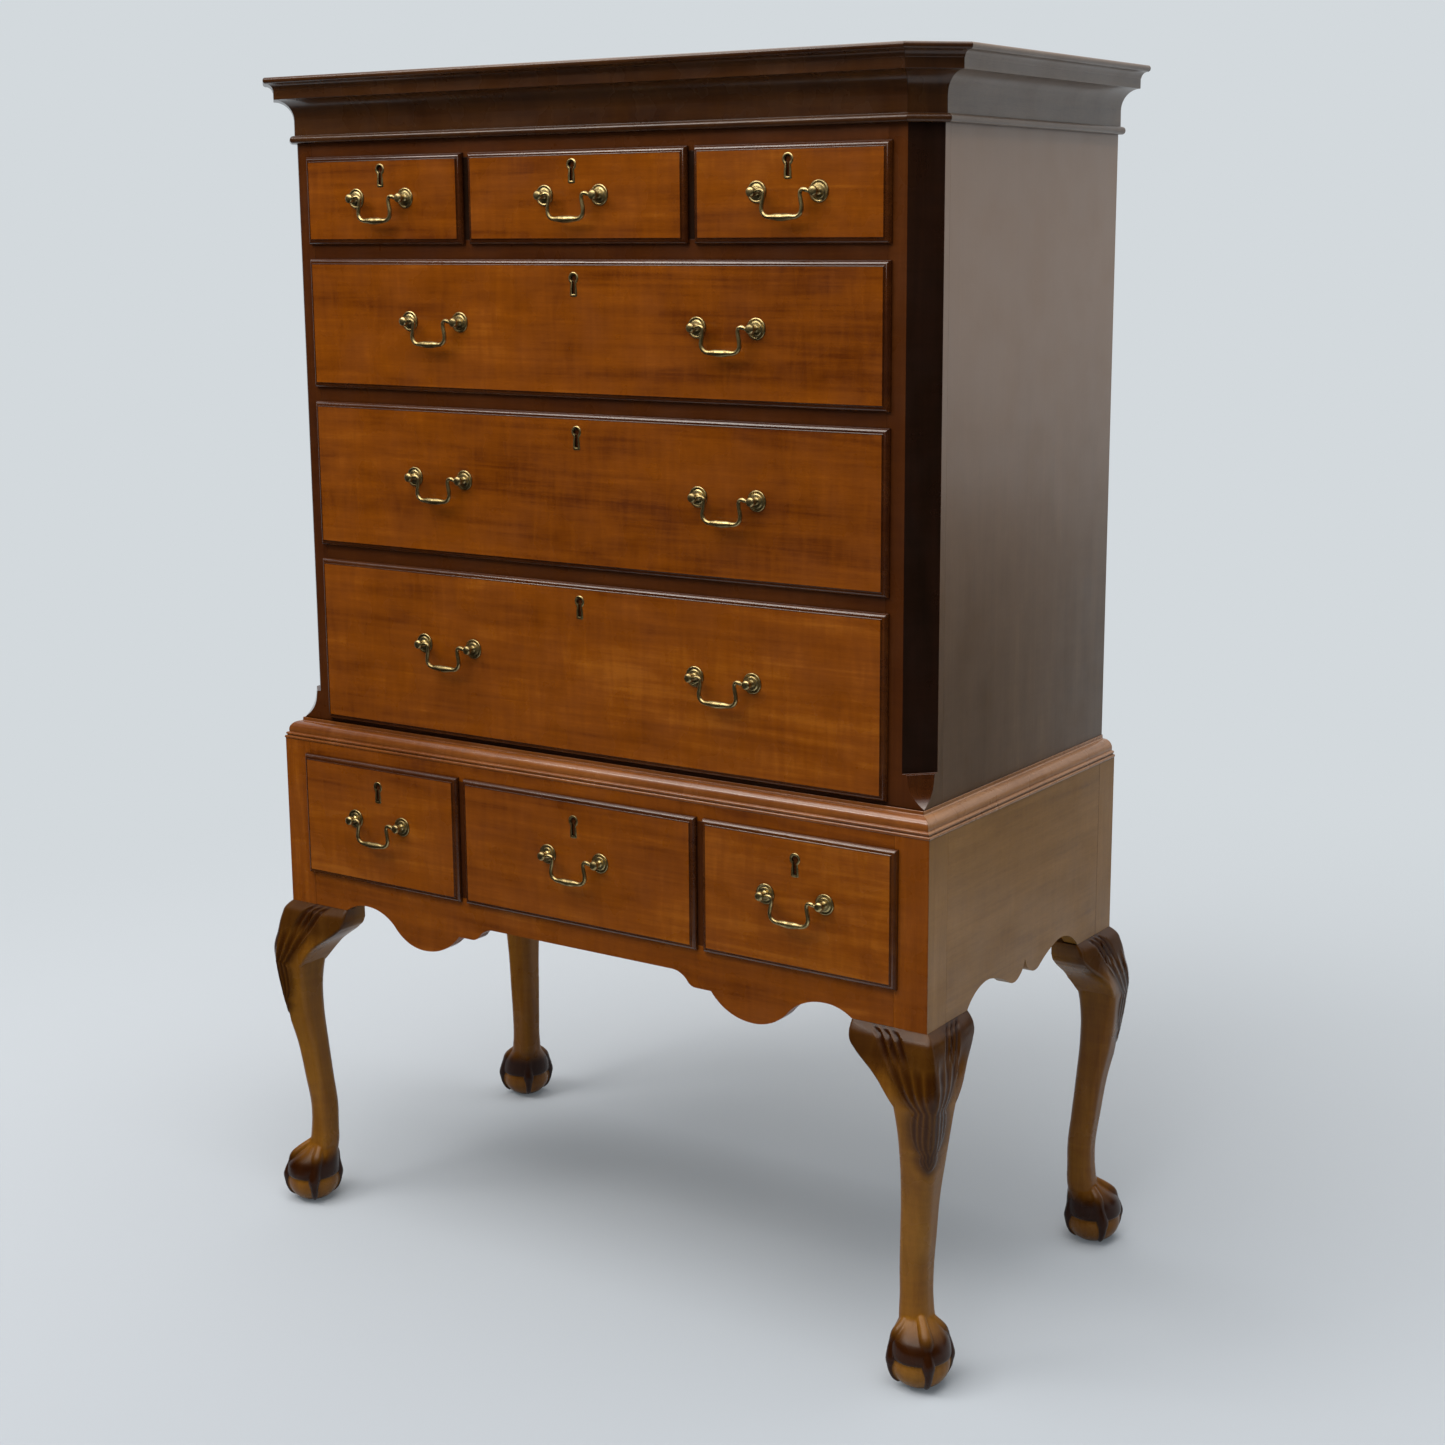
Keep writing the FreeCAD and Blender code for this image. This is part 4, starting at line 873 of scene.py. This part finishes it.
def cut_away(made, cutters):
    """Takes the cutters' shapes, in mm, out of a piece."""
    shape = bmesh.new()
    for outline, near, far in cutters:
        prism(shape, outline, 1, near, far)
    tool = placed("cutter", meshed(shape, "cutter"))
    settle(made, ("BOOLEAN", {"object": tool, "operation": "DIFFERENCE", "solver": "EXACT"}))
    bpy.data.objects.remove(tool)


def dovetails(low, high):
    """Middles of tails some 34 mm apart between two levels, and half the width of each."""
    count = max(2, round((high - low) / 34))
    step = (high - low) / count
    return [low + step * (number + 0.5) for number in range(count)], step * 0.32


def drawer(name):
    """One drawer: lipped front, dovetailed box, pulls, escutcheon and lock."""
    body = f"{name}_drawer"
    (left, face, low), (right, inside_face, high) = corners(f"{name}_front")
    plane = face + FIELD
    centre = (left + right) / 2
    (box_left, _, box_low), (box_right, rear_y, box_top) = corners(f"{name}_box")
    inside_left, inside_right = box_left + SIDE, box_right - SIDE
    key_z = high - (39 if name.startswith("lower") else 26.5 if name.startswith("upper") else 31)
    # the front: lip with its thumb-moulded edge, a low step, then the field
    edge = [(0, 0.02), (0, 0.8)]
    for step in range(1, 11):
        angle = math.pi / 20 * step
        edge.append((5.8 - 5.8 * math.cos(angle), 0.8 + 6.7 * math.sin(angle)))
    edge += [(6.4, 7.5), (6.7, 7.7), (6.8, 8.2), (7.1, 8.8), (7.8, 9.0)]
    shape = bmesh.new()
    rings = []
    for inset, out in edge:
        west, east, foot, head = left + inset, right - inset, low + inset, high - inset
        rings.append([(x, plane - out, z) for x, z in ((west, foot), (east, foot), (east, head), (west, head))])
    loft(shape, rings)
    # the body behind the lip; pins at its ends are left between the sides' tails
    block(shape, (box_left, box_right), (plane, plane + LAP), (box_low, box_top))
    block(shape, (inside_left, inside_right), (plane + LAP, plane + BODY), (box_low, box_top))
    tails, half = dovetails(box_low, box_top)
    edges = [box_low] + [level for middle in tails for level in (middle - half, middle + half)] + [box_top]
    for bottom, top in zip(edges[::2], edges[1::2]):
        rise = 1.6 if bottom > box_low else 0
        fall = 1.6 if top < box_top else 0
        outline = [(plane + LAP, bottom + rise), (plane + BODY, bottom), (plane + BODY, top), (plane + LAP, top - fall)]
        prism(shape, outline, 0, box_left, inside_left)
        prism(shape, outline, 0, inside_right, box_right)
    blank = placed(f"{name}_front_blank", meshed(shape, f"{name}_front_blank"))
    ring_cut, key_cut = ([(centre + x, key_z + z) for x, z in keyhole(grow)] for grow in (RING, 0))
    cut_away(blank, [(ring_cut, face - 1, face + 4.5), (key_cut, face + 2, inside_face + 1)])
    mesh = blank.data
    bpy.data.objects.remove(blank)
    front = piece(f"{name}_drawer_front", mesh, body, front_cherry, [f"{name}_front"], sharp=30, along=0)
    settle(front, ("WEIGHTED_NORMAL", {"keep_sharp": True, "weight": 90}))
    # the thumb-moulded lip takes the edges' colour: dark painted shade under a glossy coat
    repaint(front, shaded_edge_cherry, lambda spot, way: plane - FIELD + 0.1 < spot.y < plane - 0.01)

    # the box: sides with tails that meet the front's pins, back, bottom in its grooves
    shape = bmesh.new()
    back_y = rear_y - SIDE
    outline = [(plane + BODY, box_low)]
    for middle in tails:
        outline += [(plane + BODY, middle - half), (plane + LAP + 0.1, middle - half - 1.5)]
        outline += [(plane + LAP + 0.1, middle + half + 1.5), (plane + BODY, middle + half)]
    outline += [(plane + BODY, box_top), (rear_y, box_top), (rear_y, box_low)]
    for near, far in ((box_left, inside_left), (inside_right, box_right)):
        prism(shape, outline, 0, near, far)
    block(shape, (inside_left, inside_right), (back_y, rear_y), (box_low + 16, box_top - 4))
    block(shape, (inside_left - 5, inside_right + 5), (plane + BODY, rear_y), (box_low + 8, box_low + 16))
    piece(f"{name}_drawer_box", shape, body, bare_pine, [f"{name}_box"], edge=0.5)

    # brass: posts with rosettes, shanks and six-sided nuts, the ring of the keyhole, the lock with its screws
    shape = bmesh.new()
    bails = [f"{name}_bail"] if not name.endswith("long") else [f"{name}_left_bail", f"{name}_right_bail"]
    for bail in bails:
        (first, _, _), (second, _, top) = corners(bail)
        middle = (first + second) / 2
        hinge = top - HINGE_TO_TOP
        for sign in (1, -1):
            x = middle + sign * BORING / 2
            spot = (x, face, hinge)
            turned(shape, spot, ROSETTE)
            turned(shape, spot, POST_HEAD)
            block(shape, (x - 2.4, x + 2.4), (face, plane + BODY + 6), (hinge - 2.4, hinge + 2.4))
            nut = [(x + 6 * math.cos(k * math.tau / 6), hinge + 6 * math.sin(k * math.tau / 6)) for k in range(6)]
            prism(shape, nut, 1, plane + BODY, plane + BODY + 4)
        bail_piece(bail, middle, face - STAND, hinge)
    loops = []
    for part, out in ((0, -4.4), (0, 0.3), (0.25, 0.75), (0.5, 0.85), (0.75, 0.7), (0.97, 0.1), (0.97, -4.4)):
        loop = []
        for (ax, az), (bx, bz) in zip(keyhole(0), keyhole(RING)):
            loop.append((centre + ax + (bx - ax) * part, face - out, key_z + az + (bz - az) * part))
        loops.append(loop)
    loft(shape, loops + loops[:1], capped=False)
    inner_y = plane + BODY
    lock_low = key_z - 13
    block(shape, (centre - 25, centre + 25), (inner_y - 9, inner_y), (lock_low, box_top))
    block(shape, (centre - 30, centre + 30), (inner_y, inner_y + 1.4), (lock_low, box_top))
    for x in (-26, 26):
        for z in (lock_low + 5, box_top - 5):
            turned(shape, (centre + x, inner_y + 2.4, z), [(0, 1.2), (0.2, 2.4), (1.0, 2.9), (1.3, 2.9)], 16)
    bmesh.ops.remove_doubles(shape, verts=shape.verts, dist=0.001)
    piece(f"{name}_pulls_and_lock", shape, body, old_brass, [f"{name}_hardware"], sharp=40)


ROSETTE = [(-0.4, 12.9), (0, 13.4), (0.7, 13.5), (1.3, 13.2), (1.75, 12.4), (1.7, 11.6), (1.3, 10.8), (1.15, 10.0)]
ROSETTE += [(1.35, 9.2), (1.9, 8.6), (2.3, 8.0), (2.35, 7.2), (2.5, 6.0), (3.0, 4.6)]
POST_HEAD = [(1.0, 4.8), (3.0, 4.7), (3.8, 3.9), (4.8, 3.3), (6.2, 3.1), (7.6, 3.3), (8.4, 4.0), (9.0, 4.7), (9.6, 4.9)]
POST_HEAD += [(10.1, 4.9), (10.7, 5.5), (11.8, 6.0), (13.2, 6.2), (14.8, 6.2), (16.0, 5.8), (16.9, 5.0), (17.5, 3.9)]
POST_HEAD += [(17.8, 2.6), (17.9, 1.2)]
HINGE_TO_TOP = 4.2
BAIL = [(-41.1, 0, 1.6), (-38.6, 0.1, 1.7), (-36.6, 0.4, 2.2), (-34.2, 1.4, 2.9), (-31.2, 2.1, 2.7), (-28.3, 1.6, 2.5)]
BAIL += [(-26.3, -0.6, 2.5), (-25.9, -4.5, 2.5), (-27.0, -10.5, 2.6), (-28.3, -17.0, 2.7), (-28.1, -22.0, 2.75)]
BAIL += [(-26.0, -26.2, 2.75), (-22.2, -28.8, 2.75), (-17.5, -29.8, 3.0), (-12.5, -29.8, 3.6), (-7, -30.0, 4.3)]
BAIL += [(0, -30.3, 4.5)]


def bail_piece(name, middle, hinge_y, hinge):
    """A swan-neck bail: fine at the posts, kicked in below them, swelling in the middle of the grip."""
    half = BAIL + [(-x, z, r) for x, z, r in reversed(BAIL[:-1])]
    rows = [(number, *row) for number, row in enumerate(half)]
    smooth = through(rows, np.linspace(0, len(half) - 1, 5 * len(half)))
    shape = bmesh.new()
    line = [(middle + x, hinge_y, hinge + z) for x, z, r in smooth]
    sweep(shape, line, [r for x, z, r in smooth], 16)
    piece(f"{name}_swan_neck", shape, name, old_brass, [name], sharp=60)


DRAWERS = ["upper_left", "upper_middle", "upper_right", "top_long", "middle_long", "bottom_long"]
for name in DRAWERS + ["lower_left", "lower_middle", "lower_right"]:
    drawer(name)

# ---- floor, light and camera


PAPER = "#d3d9dd"


def seen(tree):
    """Whether what looks is the camera, a reflection or a view through glass."""
    path = add(tree, "LightPath").outputs
    either = add(tree, "Math", {0: path["Is Camera Ray"], 1: path["Is Glossy Ray"]}, operation="MAXIMUM").outputs[0]
    return add(tree, "Math", {0: either, 1: path["Is Transmission Ray"]}, operation="MAXIMUM").outputs[0]


def studio_paper():
    """Seamless matt paper: it keeps the shadow near the piece and fades into the even tone of the backdrop."""
    made, tree, output = finish_for("seamless_paper")
    where = add(tree, "TexCoord").outputs["Object"]
    tooth = noise(tree, where, 2.5, 2.0)
    relief = add(tree, "Bump", {"Strength": 0.05, "Distance": 0.1 * MM, "Height": tooth}).outputs[0]
    matt = add(tree, "BsdfDiffuse", {"Color": linear("#bbc4ce"), "Roughness": 1.0, "Normal": relief}).outputs[0]
    even = add(tree, "Emission", {"Color": linear(PAPER), "Strength": 1.0}).outputs[0]
    away = add(tree, "VectorMath", {0: where}, operation="LENGTH").outputs["Value"]
    reach = {0: away, 1: 0.7, 2: 3.0, 3: 0.08, 4: 1.0}
    share = add(tree, "MapRange", reach, interpolation_type="SMOOTHSTEP").outputs[0]
    share = add(tree, "Math", {0: share, 1: seen(tree)}, operation="MULTIPLY").outputs[0]
    tree.links.new(add(tree, "MixShader", {0: share, 1: matt, 2: even}).outputs[0], output.inputs[0])
    return made


def stage_sheet(name, line, reach, turn=0.0):
    """A sheet of the studio that follows a line in the upright plane and spans reach to both sides."""
    shape = bmesh.new()
    rows = [[shape.verts.new((x, y, z)) for y, z in line] for x in (-reach, reach)]
    for index in range(len(line) - 1):
        shape.faces.new((rows[0][index], rows[1][index], rows[1][index + 1], rows[0][index + 1]))
    mesh = bpy.data.meshes.new(name)
    shape.to_mesh(mesh)
    shape.free()
    mesh.transform(Matrix.Rotation(math.radians(turn), 4, "Z") @ Matrix.Scale(MM, 4))
    mesh.polygons.foreach_set("use_smooth", [True] * len(mesh.polygons))
    made = placed(name, mesh)
    return made


sweep_line = traced([(-9000, 0), (4200, 0), (5600, 580, 6200, 2000), (6200, 9000)], 24)
paper = stage_sheet("paper_sweep", sweep_line, 12000, 33.9)
paper.data.materials.append(studio_paper())

# Black flags stand where the room would mirror in the fronts; they only show in reflections.
velvet, tree, output = finish_for("black_flag_velvet")
tree.links.new(add(tree, "BsdfDiffuse", {"Color": linear("#050505"), "Roughness": 1.0}).outputs[0], output.inputs[0])


def hide_from_all_but_reflections(flag):
    """Makes a sheet black velvet that shows only in reflections."""
    flag.data.materials.append(velvet)
    for ray in ("camera", "diffuse", "shadow", "transmission"):
        setattr(flag, f"visible_{ray}", False)


for number in range(6):
    flag = stage_sheet(f"black_flag_{number + 1}", [(-1900, 0), (-1900, 2300)], 520, -62 + 29 * number)
    hide_from_all_but_reflections(flag)

# A lower flag behind on the right keeps the floor out of the case's glossy side.
flag = stage_sheet("black_flag_side", [(0, 200), (0, 950)], 560)
flag.location = (1.58, 1.2, 0)
hide_from_all_but_reflections(flag)
# A black cloth lies where the stand's fronts and apron would mirror the pale floor.
hide_from_all_but_reflections(stage_sheet("black_cloth_front", [(-1900, 2), (-800, 2)], 1100, -38))

world = bpy.data.worlds.new("studio_room")
bpy.context.scene.world = world
world.use_nodes = True
tree = world.node_tree
tree.nodes.clear()
levels = [add(tree, "Background", {"Color": linear(PAPER), "Strength": level}).outputs[0] for level in (0.42, 1.0)]
room = add(tree, "MixShader", {0: seen(tree), 1: levels[0], 2: levels[1]}).outputs[0]
add(tree, "OutputWorld", {0: room})

# name, place, aim, width, height, watts
SOFTBOXES = [
    ("softbox_front_high", (-0.3, -4.0, 5.0), (0, 0, 0.9), 4.0, 3.0, 88),
    ("strip_high_left", (-1.9, -2.3, 3.2), (-0.2, 0, 1.4), 1.6, 0.7, 38),
    ("softbox_overhead", (0.0, 0.0, 3.2), (0, 0, 0), 3.0, 3.0, 55),
    ("softbox_ceiling", (0.0, -0.5, 4.8), (0, 0, 0), 6.0, 6.0, 215),
]
for title, place, aim, wide, high, watts in SOFTBOXES:
    lamp = bpy.data.lights.new(title, "AREA")
    lamp.shape = "RECTANGLE"
    lamp.size = wide
    lamp.size_y = high
    lamp.energy = watts
    lamp.color = linear("#fff6ec")[:3]
    made = placed(title, lamp)
    made.location = place
    made.rotation_euler = (Vector(aim) - Vector(place)).to_track_quat("-Z", "Y").to_euler()

camera = placed("camera", bpy.data.cameras.new("camera"))
camera.location = (1.8223, -2.6109, 1.4420)
camera.rotation_euler = [math.radians(angle) for angle in (78.438, 0.339, 33.870)]
camera.data.lens = 56.88
camera.data.sensor_width = 36
camera.data.shift_x = -0.00369
camera.data.shift_y = -0.01744
bpy.context.scene.camera = camera
bpy.context.scene.view_settings.view_transform = "Standard"

bpy.context.view_layer.update()
